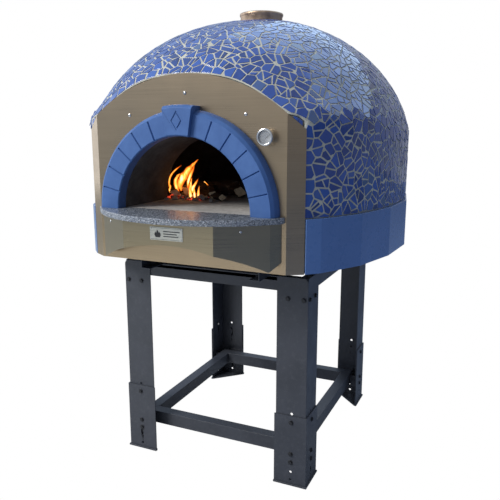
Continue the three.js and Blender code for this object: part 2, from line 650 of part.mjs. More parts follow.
// Folded apron below the shelf, with an arch cut into its lower edge
function apron() {
  const { sheet, front, frontHalf, side, sideHalf, endHalf, top } = APRON;
  const run = (inset) => [[-endHalf + inset, FRONT_Y - GAP], [-sideHalf + inset, side + inset * 0.4],
    [-frontHalf + inset * 0.5, front + inset], [frontHalf - inset * 0.5, front + inset],
    [sideHalf - inset, side + inset * 0.4], [endHalf - inset, FRONT_Y - GAP]];
  const outline = [...run(0), ...run(sheet).reverse()];
  const folded = prism(outline.map(([x, y]) => new THREE.Vector2(x, y)), BODY_BOTTOM - 100, top);
  const arch = rod(APRON_ARCH.radius, 0, APRON_ARCH.top - APRON_ARCH.radius, -FAR, 0, 96);
  const normal = new THREE.Vector3(0, -APRON_END.rise, 1);
  const offset = (normal.y * side + APRON_END.corner) / normal.length();
  return folded.subtract(arch).trimByPlane(normal.toArray(), offset);
}

function namePlate() {
  const { width, height, thick, z } = PLATE;
  const back = APRON.front - GAP;
  return box(-width / 2, width / 2, back - thick, back, z - height / 2, z + height / 2);
}

function frontScrew(x, z) {
  const { head, crown, shank, proud } = SCREW;
  const face = FRONT_Y - GAP;
  const tip = FRONT_Y + FRONT_SHEET;
  const section = [[0, face - proud], [crown, face - proud * 0.9], [head, face - proud * 0.4], [head, face],
    [shank, face], [shank, tip], [0, tip]];
  return turnedAlongY(section, 12, x, z);
}

function buildFront() {
  part('front_panel', frontPanel(), frontSheet);
  part('arch_left', archHalf(-1), archPaint);
  part('arch_right', archHalf(1), archPaint);
  part('keystone', keystone(), archPaint);
  part('granite_shelf', shelf(), granite);
  part('apron', apron(), frontSheet);
  part('name_plate', namePlate(), chrome);
  for (const [place, x, z] of SCREWS) part(`front_screw_${place}`, frontScrew(x, z), chrome);
}

// ---------------------------------------------------------------- thermometer
function buildGauge() {
  const { x, z, radius, inner, depth, floor, bezel, stem, stemLength } = GAUGE;
  const back = FRONT_Y - GAP;
  const rim = back - depth;
  const dialBack = back - floor - GAP;
  const round = (points) => turnedAlongY(points, 24, x, z);
  part('gauge_case', round([[0, back], [radius, back], [radius, rim], [inner, rim], [inner, back - floor],
    [0, back - floor]]), blackPlastic);
  part('gauge_dial', rod(inner - GAP, x, z, dialBack - DIAL_THICK, dialBack, 24), dialWhite);
  part('gauge_glass', rod(inner - GAP, x, z, rim + 0.5, rim + 0.5 + GLASS_THICK, 24), clearGlass);
  part('gauge_bezel', round([[inner - 1, rim - GAP], [inner - 1, rim - 2.5], [radius - 0.5, rim - 4],
    [bezel, rim - 2], [bezel, rim + 6], [radius + GAP, rim + 6], [radius + GAP, rim - GAP],
    [inner - 1, rim - GAP]]), chrome);
  part('gauge_stem', rod(stem, x, z, FRONT_Y, FRONT_Y + stemLength), chrome);
  part('gauge_needle', needle(back - NEEDLE.standOff), blackPlastic);
}

// The needle turns about the middle of the dial; at rest it points up and to the right
function needle(y) {
  const { tip, tail, halfWidth, hub, thick, rest } = NEEDLE;
  const outline = [[-halfWidth * 1.6, -tail], [halfWidth * 1.6, -tail], [halfWidth, 0], [0.3, tip],
    [-0.3, tip], [-halfWidth, 0]];
  const pointer = frontPrism(outline.map(([px, pz]) => new THREE.Vector2(px, pz)), y, y + thick);
  const boss = rod(hub, 0, 0, y - 1, y + thick + 0.5, 16);
  const geometry = toGeometry(pointer.add(boss));
  geometry.rotateY(THREE.MathUtils.degToRad(rest));
  geometry.translate(GAUGE.x, 0, GAUGE.z);
  return toSolid(geometry);
}

buildStand();
buildBody();
buildFront();
buildGauge();

export default object;
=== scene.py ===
"""Wood fired pizza oven: its looks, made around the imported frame. Metres, +Z up, the mouth faces -Y."""
import json
import math
import random

import bmesh
import bpy
from mathutils import Matrix, Vector, bvhtree, kdtree, noise


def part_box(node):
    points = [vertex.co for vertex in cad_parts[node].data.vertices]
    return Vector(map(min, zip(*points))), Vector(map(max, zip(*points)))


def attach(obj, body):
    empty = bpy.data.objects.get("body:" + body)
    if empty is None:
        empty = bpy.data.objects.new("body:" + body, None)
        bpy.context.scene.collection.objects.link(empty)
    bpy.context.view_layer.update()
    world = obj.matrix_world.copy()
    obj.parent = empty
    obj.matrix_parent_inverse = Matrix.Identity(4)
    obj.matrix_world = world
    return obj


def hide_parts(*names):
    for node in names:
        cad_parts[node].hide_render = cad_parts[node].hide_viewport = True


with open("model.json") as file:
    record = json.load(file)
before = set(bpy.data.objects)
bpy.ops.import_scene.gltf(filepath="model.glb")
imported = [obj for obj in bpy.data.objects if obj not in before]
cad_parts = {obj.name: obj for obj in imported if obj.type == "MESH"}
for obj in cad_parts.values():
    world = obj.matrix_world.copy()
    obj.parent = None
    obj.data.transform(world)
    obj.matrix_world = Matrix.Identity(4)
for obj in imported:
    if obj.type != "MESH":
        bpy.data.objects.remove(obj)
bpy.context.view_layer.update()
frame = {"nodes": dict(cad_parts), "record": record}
nodes = frame["nodes"]
body_of = {node: body for body, group in frame["record"]["behaviour"]["bodies"].items() for node in group}

MM = 0.001
CORNERS = [("front_left", -1, -1), ("front_right", 1, -1), ("rear_left", -1, 1), ("rear_right", 1, 1)]

# Places taken from the frame
FRONT_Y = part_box("front_panel")[0].y
WING_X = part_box("front_panel")[1].x
WING_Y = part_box("skirt")[0].y - 2.3 * MM
HEARTH_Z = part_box("granite_shelf")[1].z
SKIRT_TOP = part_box("skirt")[1].z
COLLAR_LOW, COLLAR_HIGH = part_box("flue_collar")
COLLAR_Y = (COLLAR_LOW.y + COLLAR_HIGH.y) / 2
COLLAR_RADIUS = COLLAR_HIGH.x
SKIN_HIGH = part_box("mosaic_skin")[1]

# The front sheet: folds of its wings and the arc of its top edge
FOLD_X = 0.411
FRONT_ARC_Z = 1.0635
FRONT_ARC_RADIUS = 0.640

# The dome's surface, the same formula as the frame's solids
DOME_HALF_WIDTH = SKIN_HIGH.x
DOME_REAR = 0.638
DOME_FRONT = 0.907
DOME_Y = SKIN_HIGH.y - DOME_REAR
WALL_TOP = 1.466
DOME_TOP = 1.990
DOME_RISE = 1.6
DOME_BULGE = 2.15
REAR_FULLNESS = 2.2
FRONT_FULLNESS = 2.42
SHOULDER_FULLNESS = 0.23

# Stand and shelf
HOLE_FROM_CORNER = 0.063
LOCK_HEIGHTS = (0.290, 0.145, 0.107)
RAIL_BOLT_HEIGHT = 0.828
RAIL_BOLTS_FRONT = (0.018, 0.086)
RAIL_BOLTS_SIDE = (0.024, 0.092)
SHELF_RADIUS = 0.515
SHELF_EASE = 1.2 * MM
SHELF_SPLIT = 2.4 * MM

# Thermometer: degrees of the scale, clockwise from straight up
DIAL_START = -135
DIAL_SWEEP = 270
DIAL_STEPS = 50
DIAL_NUMBERS = 5

# Mosaic
CELL_SPACING = 0.054
ROW_SPACING = 0.044
ROW_DEPTH = 0.021
SHARD_AREA = 0.00118
GROUT_HALF = 0.0031
TILE_PROUD = 0.5 * MM
TILE_SUNK = 3.0 * MM
GROUT_INSET = 1.6 * MM
CELL_REACH = 0.11
NEIGHBOUR_REACH = 0.21
SAMPLES = 90000
FRONT_GAP = 3.0 * MM
RIM_GAP = 1.5 * MM
SMALLEST_CELL = 0.0002
SMALLEST_SHARD = 0.00012
CHAMFER = 0.7 * MM
WING_SHARDS = ((0.4170, 0.4285), (0.4300, 0.4430), (0.4445, 0.4570), (0.4583, 0.4660))


# ---------------------------------------------------------------- objects and meshes
def link(obj):
    bpy.context.scene.collection.objects.link(obj)
    return obj


def mesh_object(name, verts, faces, material=None, smooth=False):
    mesh = bpy.data.meshes.new(name)
    mesh.from_pydata([tuple(v) for v in verts], [], faces)
    mesh.validate()
    mesh.polygons.foreach_set("use_smooth", [smooth] * len(mesh.polygons))
    if material:
        mesh.materials.append(material)
    return link(bpy.data.objects.new(name, mesh))


def tube_faces(columns, rows, capped=True):
    """Faces between rings of vertices that run ring by ring, and the two ends."""
    faces = []
    for row in range(rows):
        for column in range(columns):
            a, b = row * columns + column, row * columns + (column + 1) % columns
            faces.append((a, b, b + columns, a + columns))
    if capped:
        last = rows * columns
        faces += [tuple(reversed(range(columns))), tuple(range(last, last + columns))]
    return faces


def faces_outward(obj):
    bm = bmesh.new()
    bm.from_mesh(obj.data)
    bmesh.ops.recalc_face_normals(bm, faces=bm.faces)
    bm.to_mesh(obj.data)
    bm.free()
    return obj


def baked(obj):
    """Gives the object the mesh that its modifiers make."""
    bpy.context.view_layer.update()
    mesh = bpy.data.meshes.new_from_object(obj.evaluated_get(bpy.context.evaluated_depsgraph_get()))
    obj.modifiers.clear()
    obj.data = mesh
    return obj


def round_edges(obj, width, segments=2, limit=28):
    """Bevels the edges sharper than limit degrees and shades the flat faces flat."""
    obj.data.polygons.foreach_set("use_smooth", [True] * len(obj.data.polygons))
    bevel = obj.modifiers.new("bevel", "BEVEL")
    bevel.width = width
    bevel.segments = segments
    bevel.limit_method = "ANGLE"
    bevel.angle_limit = math.radians(limit)
    bevel.miter_outer = "MITER_ARC"
    normals = obj.modifiers.new("normals", "WEIGHTED_NORMAL")
    normals.weight = 80
    return baked(obj)


def joined(name, objects):
    """One object out of several meshes."""
    bm = bmesh.new()
    for obj in objects:
        bm.from_mesh(obj.data)
    mesh = bpy.data.meshes.new(name)
    bm.to_mesh(mesh)
    bm.free()
    for material in objects[0].data.materials:
        mesh.materials.append(material)
    for obj in objects:
        bpy.data.objects.remove(obj)
    return link(bpy.data.objects.new(name, mesh))


def cut(obj, tool):
    """Cuts the tool's volume out of the object, and removes the tool."""
    boolean = obj.modifiers.new("cut", "BOOLEAN")
    boolean.operation = "DIFFERENCE"
    boolean.solver = "EXACT"
    boolean.object = tool
    baked(obj)
    bpy.data.objects.remove(tool)
    return obj


def turned(name, points, segments, material=None, smooth_limit=35):
    """A closed section of (radius, height) turned about Z; a radius of 0 lies on the axis."""
    bm = bmesh.new()
    loops = []
    for radius, height in points:
        if radius < 1e-9:
            loops.append([bm.verts.new((0, 0, height))])
            continue
        angles = [2 * math.pi * i / segments for i in range(segments)]
        loops.append([bm.verts.new((radius * math.cos(a), radius * math.sin(a), height)) for a in angles])
    for low, high in zip(loops, loops[1:] + loops[:1]):
        if len(low) == 1 and len(high) == 1:
            continue
        for i in range(segments):
            j = (i + 1) % segments
            ring = [low[i % len(low)], low[j % len(low)], high[j % len(high)], high[i % len(high)]]
            bm.faces.new(list(dict.fromkeys(ring)))
    bmesh.ops.recalc_face_normals(bm, faces=bm.faces)
    mesh = bpy.data.meshes.new(name)
    bm.to_mesh(mesh)
    bm.free()
    obj = link(bpy.data.objects.new(name, mesh))
    if material:
        mesh.materials.append(material)
    return shade_by_angle(obj, smooth_limit)


def shade_by_angle(obj, degrees):
    """Smooth shading with creases at the edges sharper than the angle."""
    obj.data.polygons.foreach_set("use_smooth", [True] * len(obj.data.polygons))
    bm = bmesh.new()
    bm.from_mesh(obj.data)
    for edge in bm.edges:
        if len(edge.link_faces) == 2 and edge.calc_face_angle(0) > math.radians(degrees):
            edge.smooth = False
    bm.to_mesh(obj.data)
    bm.free()
    return obj


def prism(name, outline, z0, z1, material=None):
    """An outline of (x, y) points raised from z0 to z1."""
    verts = [(x, y, z0) for x, y in outline] + [(x, y, z1) for x, y in outline]
    return faces_outward(mesh_object(name, verts, tube_faces(len(outline), 1), material))


def placed(obj, location, direction=(0, 0, 1), roll=0.0):
    """Turns the mesh so that its Z lies along the direction, and moves it; the origin stays."""
    turn = Vector((0, 0, 1)).rotation_difference(Vector(direction)).to_matrix().to_4x4()
    obj.data.transform(Matrix.Translation(location) @ turn @ Matrix.Rotation(roll, 4, "Z"))
    return obj


def stands_for(piece, *replaced, slot=None):
    """The piece rides on the body of the nodes that it replaces."""
    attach(piece, body_of[replaced[0]])
    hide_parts(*replaced)
    return piece


def rides(piece, body="oven"):
    """A piece that stands for no node of its own."""
    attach(piece, body)


def slot_of(node):
    subparts = frame["record"]["subparts"]
    return next(s["material_slot"] for s in subparts if s["node"] == node)


def softened(node, material, width, segments=2, limit=28):
    """A copy of a CAD node with rounded edges, which stands for it."""
    source = nodes[node].data
    bm = bmesh.new()
    bm.from_mesh(source)
    bmesh.ops.remove_doubles(bm, verts=bm.verts, dist=1e-5)
    bmesh.ops.dissolve_limit(bm, angle_limit=math.radians(0.4), verts=bm.verts, edges=bm.edges)
    verts = [v.co.copy() for v in bm.verts]
    faces = [[v.index for v in face.verts] for face in bm.faces]
    bm.free()
    obj = mesh_object(node + "_formed", verts, faces, material)
    return stands_for(round_edges(obj, width, segments, limit), node)


# ---------------------------------------------------------------- node materials
NOISE_LOW = 0.3
NOISE_HIGH = 0.7


class NodeTree:
    """A node tree whose nodes are added one by one."""

    def __init__(self, tree):
        self.tree = tree

    def add(self, kind, inputs=None, **settings):
        node = self.tree.nodes.new("ShaderNode" + kind)
        for key, value in settings.items():
            setattr(node, key, value)
        for key, value in (inputs or {}).items():
            if isinstance(value, bpy.types.NodeSocket):
                self.tree.links.new(value, node.inputs[key])
            else:
                node.inputs[key].default_value = value
        return node

    def ramp(self, value, stops, interpolation="LINEAR"):
        node = self.add("ValToRGB", {"Fac": value})
        ramp = node.color_ramp
        ramp.interpolation = interpolation
        while len(ramp.elements) < len(stops):
            ramp.elements.new(0.5)
        for element, (position, color) in zip(ramp.elements, stops):
            element.position = position
            element.color = (*color, 1.0)
        return node.outputs["Color"]

    def mix(self, factor, first, second):
        """Colours are the inputs 6 and 7 and the output 2 of a mix node."""
        first, second = (c if isinstance(c, bpy.types.NodeSocket) else (*c, 1.0) for c in (first, second))
        return self.add("Mix", {0: factor, 6: first, 7: second}, data_type="RGBA").outputs[2]

    def math(self, operation, *values):
        return self.add("Math", dict(enumerate(values)), operation=operation).outputs[0]


class Look(NodeTree):
    """A principled material in the coordinates of its object."""

    def __init__(self, name, **sockets):
        self.material = bpy.data.materials.new(name)
        self.material.use_nodes = True
        super().__init__(self.material.node_tree)
        self.shader = self.tree.nodes["Principled BSDF"]
        for socket, value in sockets.items():
            self.shader.inputs[socket.replace("_", " ")].default_value = value
        self.place = self.add("TexCoord").outputs["Object"]

    def to_shader(self, socket, output):
        self.tree.links.new(output, self.shader.inputs[socket])

    def finish(self, color, roughness, normal=None):
        self.to_shader("Base Color", color)
        self.to_shader("Roughness", roughness)
        if normal:
            self.to_shader("Normal", normal)
        return self.material

    def stretched(self, scale):
        return self.add("Mapping", {"Vector": self.place, "Scale": scale}).outputs["Vector"]

    def noise(self, scale, detail=4.0, roughness=0.55, vector=None, distortion=0.0):
        inputs = {"Vector": vector or self.place, "Scale": scale, "Detail": detail,
                  "Roughness": roughness, "Distortion": distortion}
        return self.add("TexNoise", inputs).outputs["Fac"]

    def cells(self, scale, output="Distance"):
        return self.add("TexVoronoi", {"Vector": self.place, "Scale": scale}).outputs[output]

    def remap(self, value, low, high, out_low, out_high):
        inputs = {"Value": value, "From Min": low, "From Max": high, "To Min": out_low, "To Max": out_high}
        return self.add("MapRange", inputs).outputs["Result"]

    def spread(self, value, low, high):
        """From low to high over the range that a noise mostly covers."""
        return self.remap(value, NOISE_LOW, NOISE_HIGH, low, high)

    def tones(self, value, dark, light):
        """Two colours over the range that a noise mostly covers."""
        return self.ramp(value, [(NOISE_LOW, dark), (NOISE_HIGH, light)])

    def wash(self, color, value, low, high, strength, tint):
        """Lays a tint over the colour as the value goes from low to high."""
        return self.mix(self.remap(value, low, high, 0.0, strength), color, tint)

    def attribute(self, name):
        return self.add("Attribute", attribute_name=name).outputs["Fac"]

    def bump(self, height, strength, distance, previous=None):
        inputs = {"Height": height, "Strength": strength, "Distance": distance}
        if previous:
            inputs["Normal"] = previous
        return self.add("Bump", inputs).outputs["Normal"]


def stand_paint():
    look = Look("stand_paint", Metallic=0.0, Specular_IOR_Level=0.5)
    cloud = look.noise(7.0, 5.0)
    fine = look.noise(900.0, 2.0)
    color = look.tones(cloud, (0.034, 0.038, 0.048), (0.050, 0.055, 0.069))
    color = look.wash(color, look.noise(55.0, 6.0, 0.7), 0.52, 0.78, 0.3, (0.115, 0.120, 0.130))
    peel = look.bump(look.noise(420.0, 3.0), 0.25, 0.0005)
    return look.finish(color, look.spread(cloud, 0.36, 0.52), look.bump(fine, 0.2, 0.0002, peel))


def skirt_paint():
    look = Look("skirt_paint", Coat_Weight=0.7, Coat_Roughness=0.09, Specular_IOR_Level=0.5)
    cloud = look.noise(4.0, 4.0)
    color = look.tones(cloud, (0.078, 0.165, 0.395), (0.098, 0.200, 0.465))
    scuffs = look.noise(24.0, 6.0, 0.7)
    color = look.wash(color, scuffs, 0.62, 0.8, 0.22, (0.15, 0.25, 0.50))
    ripple = look.bump(look.noise(5.0, 1.0), 0.15, 0.0012)
    roughness = look.remap(scuffs, 0.3, 0.8, 0.22, 0.4)
    return look.finish(color, roughness, look.bump(look.noise(700.0, 2.0), 0.08, 0.0003, ripple))


def arch_paint():
    look = Look("arch_paint", Specular_IOR_Level=0.35)
    cloud = look.noise(13.0, 6.0, 0.6)
    color = look.ramp(cloud, [(0.3, (0.042, 0.108, 0.295)), (0.55, (0.054, 0.130, 0.340)),
                              (0.75, (0.070, 0.156, 0.380))])
    color = look.wash(color, look.noise(75.0, 8.0, 0.72), 0.60, 0.76, 0.28, (0.12, 0.20, 0.37))
    cast = look.bump(look.noise(160.0, 5.0, 0.6), 0.45, 0.0009)
    pits = look.remap(look.cells(210.0), 0.0, 0.22, 0.0, 1.0)
    return look.finish(color, look.remap(cloud, 0.3, 0.75, 0.5, 0.68), look.bump(pits, 0.16, 0.0005, cast))


def brushed_sheet(name, dark, light, sheen=0.30):
    """Stainless sheet, brushed level, with a warm tone."""
    look = Look(name, Metallic=1.0, Anisotropic=0.55)
    lines = look.noise(1.0, 5.0, 0.6, look.stretched((3.0, 3.0, 1400.0)))
    broad = look.noise(1.0, 3.0, 0.6, look.stretched((1.6, 1.6, 34.0)))
    haze = look.noise(5.0, 4.0)
    color = look.ramp(lines, [(0.25, dark), (0.75, light)])
    color = look.wash(color, broad, 0.3, 0.7, 0.10, tuple(c * 0.72 for c in dark))
    streaks = look.remap(lines, 0.25, 0.75, sheen - 0.05, sheen + 0.07)
    tangent = look.add("Tangent", direction_type="RADIAL", axis="Z").outputs["Tangent"]
    look.to_shader("Tangent", tangent)
    roughness = look.math("ADD", streaks, look.spread(haze, -0.03, 0.05))
    return look.finish(color, roughness, look.bump(lines, 0.10, 0.0002))


def tile_glaze():
    look = Look("tile_glaze", Specular_IOR_Level=0.6, Coat_Weight=0.5, Coat_Roughness=0.03)
    tint = look.attribute("tint")
    color = look.ramp(tint, [(0.0, (0.012, 0.030, 0.130)), (0.15, (0.018, 0.050, 0.225)),
                             (0.55, (0.024, 0.072, 0.310)), (0.85, (0.034, 0.100, 0.390)),
                             (0.95, (0.050, 0.110, 0.320)), (1.0, (0.075, 0.120, 0.210))])
    cloud = look.noise(60.0, 4.0, 0.6)
    color = look.wash(color, cloud, 0.35, 0.75, 0.35, (0.034, 0.105, 0.430))
    glaze = look.bump(look.noise(42.0, 2.0), 0.22, 0.0012)
    roughness = look.spread(cloud, 0.07, 0.16)
    return look.finish(color, roughness, look.bump(look.noise(520.0, 3.0), 0.06, 0.0004, glaze))


def grout():
    look = Look("grout", Specular_IOR_Level=0.25)
    cloud = look.noise(18.0, 6.0, 0.65)
    stops = [(0.28, (0.38, 0.38, 0.33)), (0.5, (0.51, 0.51, 0.44)), (0.74, (0.63, 0.63, 0.55))]
    color = look.ramp(cloud, stops)
    sand = look.noise(850.0, 4.0, 0.7)
    color = look.wash(color, sand, 0.55, 0.75, 0.4, (0.30, 0.29, 0.26))
    trowel = look.bump(look.noise(120.0, 4.0), 0.5, 0.0012)
    return look.finish(color, look.spread(sand, 0.78, 0.95), look.bump(sand, 0.6, 0.0006, trowel))


def granite(name, lift, smoothest, depth):
    """Speckled grey stone: crystals of white, grey, blue-grey and black."""
    look = Look(name, Specular_IOR_Level=0.5)
    crystals = look.cells(430.0, output="Color")
    grey = look.add("SeparateColor", {"Color": crystals}).outputs[0]
    tones = [(0.0, (0.016, 0.018, 0.022)), (0.17, (0.055, 0.062, 0.075)), (0.36, (0.125, 0.145, 0.175)),
             (0.60, (0.200, 0.225, 0.260)), (0.80, (0.330, 0.350, 0.380)), (0.93, (0.600, 0.610, 0.620))]
    raised = [(stop, tuple(min(1.0, c * lift) for c in color)) for stop, color in tones]
    color = look.ramp(grey, raised, "CONSTANT")
    veins = look.noise(38.0, 6.0, 0.7)
    color = look.wash(color, veins, 0.4, 0.7, 0.5, tuple(lift * c for c in (0.12, 0.14, 0.18)))
    rough = look.bump(look.noise(230.0, 6.0, 0.7), 0.9, depth)
    roughness = look.remap(grey, 0.0, 1.0, smoothest, smoothest + 0.14)
    return look.finish(color, roughness, look.bump(grey, 0.15, depth, rough))


def sooty_brick(name, clean, soot_low, soot_high):
    """Refractory that goes from its own colour at the hearth to black soot higher up."""
    look = Look(name, Specular_IOR_Level=0.2)
    grain = look.noise(95.0, 8.0, 0.7)
    color = look.tones(grain, tuple(c * 0.6 for c in clean), clean)
    height = look.add("SeparateXYZ", {"Vector": look.place}).outputs["Z"]
    drift = look.math("MULTIPLY", look.noise(6.0, 5.0, 0.6), 0.10)
    level = look.math("ADD", height, drift)
    soot = look.remap(level, HEARTH_Z + soot_low, HEARTH_Z + soot_high, 0.0, 1.0)
    stops = [(0.35, (0.060, 0.058, 0.058)), (0.75, (0.125, 0.120, 0.118))]
    black = look.ramp(look.noise(14.0, 6.0, 0.6), stops)
    rough = look.bump(look.noise(45.0, 8.0, 0.68), 0.8, 0.004)
    color = look.mix(soot, color, black)
    return look.finish(color, look.spread(grain, 0.8, 0.97), look.bump(grain, 0.5, 0.0012, rough))


def hearth_stone():
    look = Look("hearth_stone", Specular_IOR_Level=0.2)
    grain = look.noise(60.0, 8.0, 0.7)
    ash = look.noise(9.0, 7.0, 0.65)
    color = look.tones(grain, (0.34, 0.32, 0.30), (0.62, 0.60, 0.57))
    color = look.wash(color, ash, 0.42, 0.62, 0.6, (0.24, 0.23, 0.22))
    return look.finish(color, look.spread(grain, 0.72, 0.92), look.bump(grain, 0.4, 0.0008))


def grained(name, grain, dark, light, roughness, relief=None, **sockets):
    """A material whose colour, roughness and relief all follow one grain."""
    look = Look(name, **sockets)
    value = look.noise(*grain)
    normal = look.bump(value, *relief) if relief else None
    return look.finish(look.tones(value, dark, light), look.spread(value, *roughness), normal)


def mineral(name, dark, light, scale):
    """Plaster, cement or insulation: a matt, slightly clotted surface."""
    grain = (scale, 8.0, 0.68)
    return grained(name, grain, dark, light, (0.85, 0.98), (0.6, 0.002), Specular_IOR_Level=0.2)


def flue_steel():
    look = Look("flue_steel", Metallic=0.75)
    bloom = look.noise(16.0, 7.0, 0.65)
    stops = [(0.3, (0.30, 0.20, 0.13)), (0.5, (0.58, 0.43, 0.30)), (0.72, (0.80, 0.65, 0.48))]
    color = look.ramp(bloom, stops)
    roughness = look.spread(bloom, 0.32, 0.6)
    return look.finish(color, roughness, look.bump(look.noise(260.0, 5.0), 0.25, 0.0006))


def bright_steel():
    look = Look("bright_steel", Metallic=1.0)
    haze = look.noise(140.0, 5.0)
    color = look.tones(haze, (0.5676, 0.5742, 0.5808), (0.66, 0.66, 0.66))
    roughness = look.spread(haze, 0.16, 0.26)
    return look.finish(color, roughness, look.bump(look.noise(900.0, 2.0), 0.08, 0.0002))


def clear_glass():
    look = Look("clear_glass", Base_Color=(0.95, 0.98, 1.0, 1.0), Alpha=0.14, IOR=1.45)
    look.to_shader("Roughness", look.spread(look.noise(30.0, 3.0), 0.01, 0.05))
    return look.material


def charred_bark():
    look = Look("charred_bark", Specular_IOR_Level=0.3)
    grain = look.noise(38.0, 8.0, 0.7, look.stretched((1.0, 1.0, 0.5)))
    stops = [(0.35, (0.008, 0.007, 0.006)), (0.55, (0.040, 0.027, 0.017)), (0.7, (0.120, 0.080, 0.048))]
    color = look.ramp(grain, stops)
    color = look.wash(color, look.noise(24.0, 6.0, 0.7), 0.58, 0.7, 0.6, (0.30, 0.28, 0.26))
    return look.finish(color, look.spread(grain, 0.75, 0.95), look.bump(grain, 0.9, 0.004))


def split_wood():
    look = Look("split_wood", Specular_IOR_Level=0.25)
    rings = look.noise(70.0, 6.0, 0.6)
    stops = [(0.3, (0.48, 0.36, 0.22)), (0.55, (0.74, 0.60, 0.42)), (0.75, (0.86, 0.74, 0.55))]
    color = look.ramp(rings, stops)
    return look.finish(color, look.spread(rings, 0.6, 0.8), look.bump(rings, 0.4, 0.001))


def ember_glow():
    look = Look("ember", Emission_Strength=2.2)
    crust = look.noise(75.0, 7.0, 0.7)
    glow = look.ramp(crust, [(0.50, (0, 0, 0)), (0.60, (0.45, 0.030, 0.010)), (0.78, (0.9, 0.16, 0.05))])
    look.to_shader("Emission Color", glow)
    color = look.tones(crust, (0.015, 0.010, 0.008), (0.12, 0.10, 0.09))
    return look.finish(color, look.spread(crust, 0.8, 0.95), look.bump(crust, 0.7, 0.002))


def fire():
    look = Look("flame", Base_Color=(0.0, 0.0, 0.0, 1.0), Roughness=1.0, Specular_IOR_Level=0.0,
                Emission_Strength=2.3)
    heat = look.attribute("warmth")
    lick = look.noise(34.0, 4.0, 0.6, look.stretched((1.0, 1.0, 0.42)), 0.6)
    hot = look.math("MULTIPLY", heat, look.remap(lick, 0.30, 0.70, 0.45, 1.25))
    colors = [(0.0, (0.30, 0.018, 0.001)), (0.30, (0.85, 0.13, 0.008)), (0.60, (1.0, 0.42, 0.05)),
              (0.92, (1.0, 0.86, 0.42))]
    cover = [(0.05, (0, 0, 0)), (0.30, (0.42, 0.42, 0.42)), (0.85, (0.93, 0.93, 0.93))]
    look.to_shader("Emission Color", look.ramp(hot, colors))
    look.to_shader("Alpha", look.ramp(hot, cover))
    return look.material


PAINT = stand_paint()
SKIRT_PAINT = skirt_paint()
ARCH_PAINT = arch_paint()
FRONT_STEEL = brushed_sheet("front_steel", (0.410, 0.310, 0.200), (0.510, 0.395, 0.265))
GLAZE = tile_glaze()
GROUT = grout()
GRANITE_TOP = granite("granite_polished", 1.05, 0.22, 0.0004)
GRANITE_EDGE = granite("granite_split", 1.35, 0.55, 0.0030)
SOOT = sooty_brick("sooty_vault", (0.20, 0.155, 0.11), -0.05, 0.03)
SOOT_DOME = sooty_brick("sooty_dome", (0.23, 0.18, 0.12), 0.02, 0.12)
HEARTH = hearth_stone()
CEMENT = mineral("cement", (0.22, 0.22, 0.20), (0.36, 0.36, 0.33), 40.0)
BLANKET = mineral("insulation", (0.55, 0.53, 0.47), (0.74, 0.72, 0.66), 70.0)
FLUE = flue_steel()
STEEL = bright_steel()
PLASTIC = grained("black_plastic", (1500.0, 3.0), (0.008, 0.008, 0.009), (0.018, 0.018, 0.020),
                  (0.32, 0.48), (0.15, 0.0002), Specular_IOR_Level=0.45)
# The dial is white enamel; the grey colour given here is painted shade.
SHADED_DIAL_ENAMEL = grained("dial_enamel_painted_shade", (180.0, 4.0), (0.36, 0.37, 0.39), (0.46, 0.47, 0.49), (0.35, 0.5),
                 Specular_IOR_Level=0.4)
INK = grained("dial_ink", (600.0, 3.0), (0.010, 0.010, 0.011), (0.024, 0.024, 0.026), (0.4, 0.6))
GLASS = clear_glass()
APRON_STEEL = brushed_sheet("apron_steel", (0.335, 0.275, 0.180), (0.430, 0.360, 0.245))
PLATE_STEEL = brushed_sheet("plate_steel", (0.58, 0.56, 0.50), (0.74, 0.72, 0.65), 0.24)
BLACK_OXIDE = grained("black_oxide", (420.0, 5.0, 0.65), (0.020, 0.021, 0.024), (0.055, 0.057, 0.062),
                      (0.35, 0.55), (0.2, 0.0003), Metallic=0.6)
BARK = charred_bark()
WOOD_END = split_wood()
EMBER = ember_glow()
ASH = grained("ash", (140.0, 6.0, 0.7), (0.22, 0.21, 0.20), (0.50, 0.48, 0.45), (0.88, 0.98), (0.6, 0.002),
              Specular_IOR_Level=0.1)
FLAME = fire()


# ---------------------------------------------------------------- the dome's surface
def dome_point(t, k, inset=0.0):
    """The surface at plan angle t; k is 1 at the wall and 0 at the crown."""
    u = (1 - k ** DOME_BULGE) ** (1 / DOME_RISE)
    c, s = math.cos(t), math.sin(t)
    fullness = REAR_FULLNESS
    if s < 0:
        fullness = FRONT_FULLNESS + SHOULDER_FULLNESS * math.exp(-(((u - 0.15) / 0.09) ** 2))
    depth = (DOME_FRONT if s < 0 else DOME_REAR) - inset
    x = k * (DOME_HALF_WIDTH - inset) * math.copysign(abs(c) ** (2 / fullness), c)
    y = DOME_Y + k * depth * math.copysign(abs(s) ** (2 / fullness), s)
    return Vector((x, y, WALL_TOP + (DOME_TOP - inset - WALL_TOP) * u))


def dome_grid(inset, bottom, columns, wall_rows, dome_rows):
    """Rings of points from the bottom of the wall to the crown."""
    rings = []
    for i in range(wall_rows):
        z = bottom + (WALL_TOP - bottom) * i / wall_rows
        ring = [dome_point(2 * math.pi * j / columns, 1.0, inset) for j in range(columns)]
        rings.append([Vector((p.x, p.y, z)) for p in ring])
    for i in range(dome_rows):
        k = math.cos(i / dome_rows * math.pi / 2)
        rings.append([dome_point(2 * math.pi * j / columns, k, inset) for j in range(columns)])
    return rings


def grid_mesh(rings):
    """Vertices and faces of the rings, closed with a fan at the crown."""
    columns = len(rings[0])
    verts = [p for ring in rings for p in ring]
    faces = tube_faces(columns, len(rings) - 1, capped=False)
    middle = rings[-1][0].lerp(rings[-1][columns // 2], 0.5)
    verts.append(Vector((middle.x, middle.y, max(p.z for p in rings[-1]))))
    last = (len(rings) - 1) * columns
    faces += [(last + j, last + (j + 1) % columns, len(verts) - 1) for j in range(columns)]
    return verts, faces


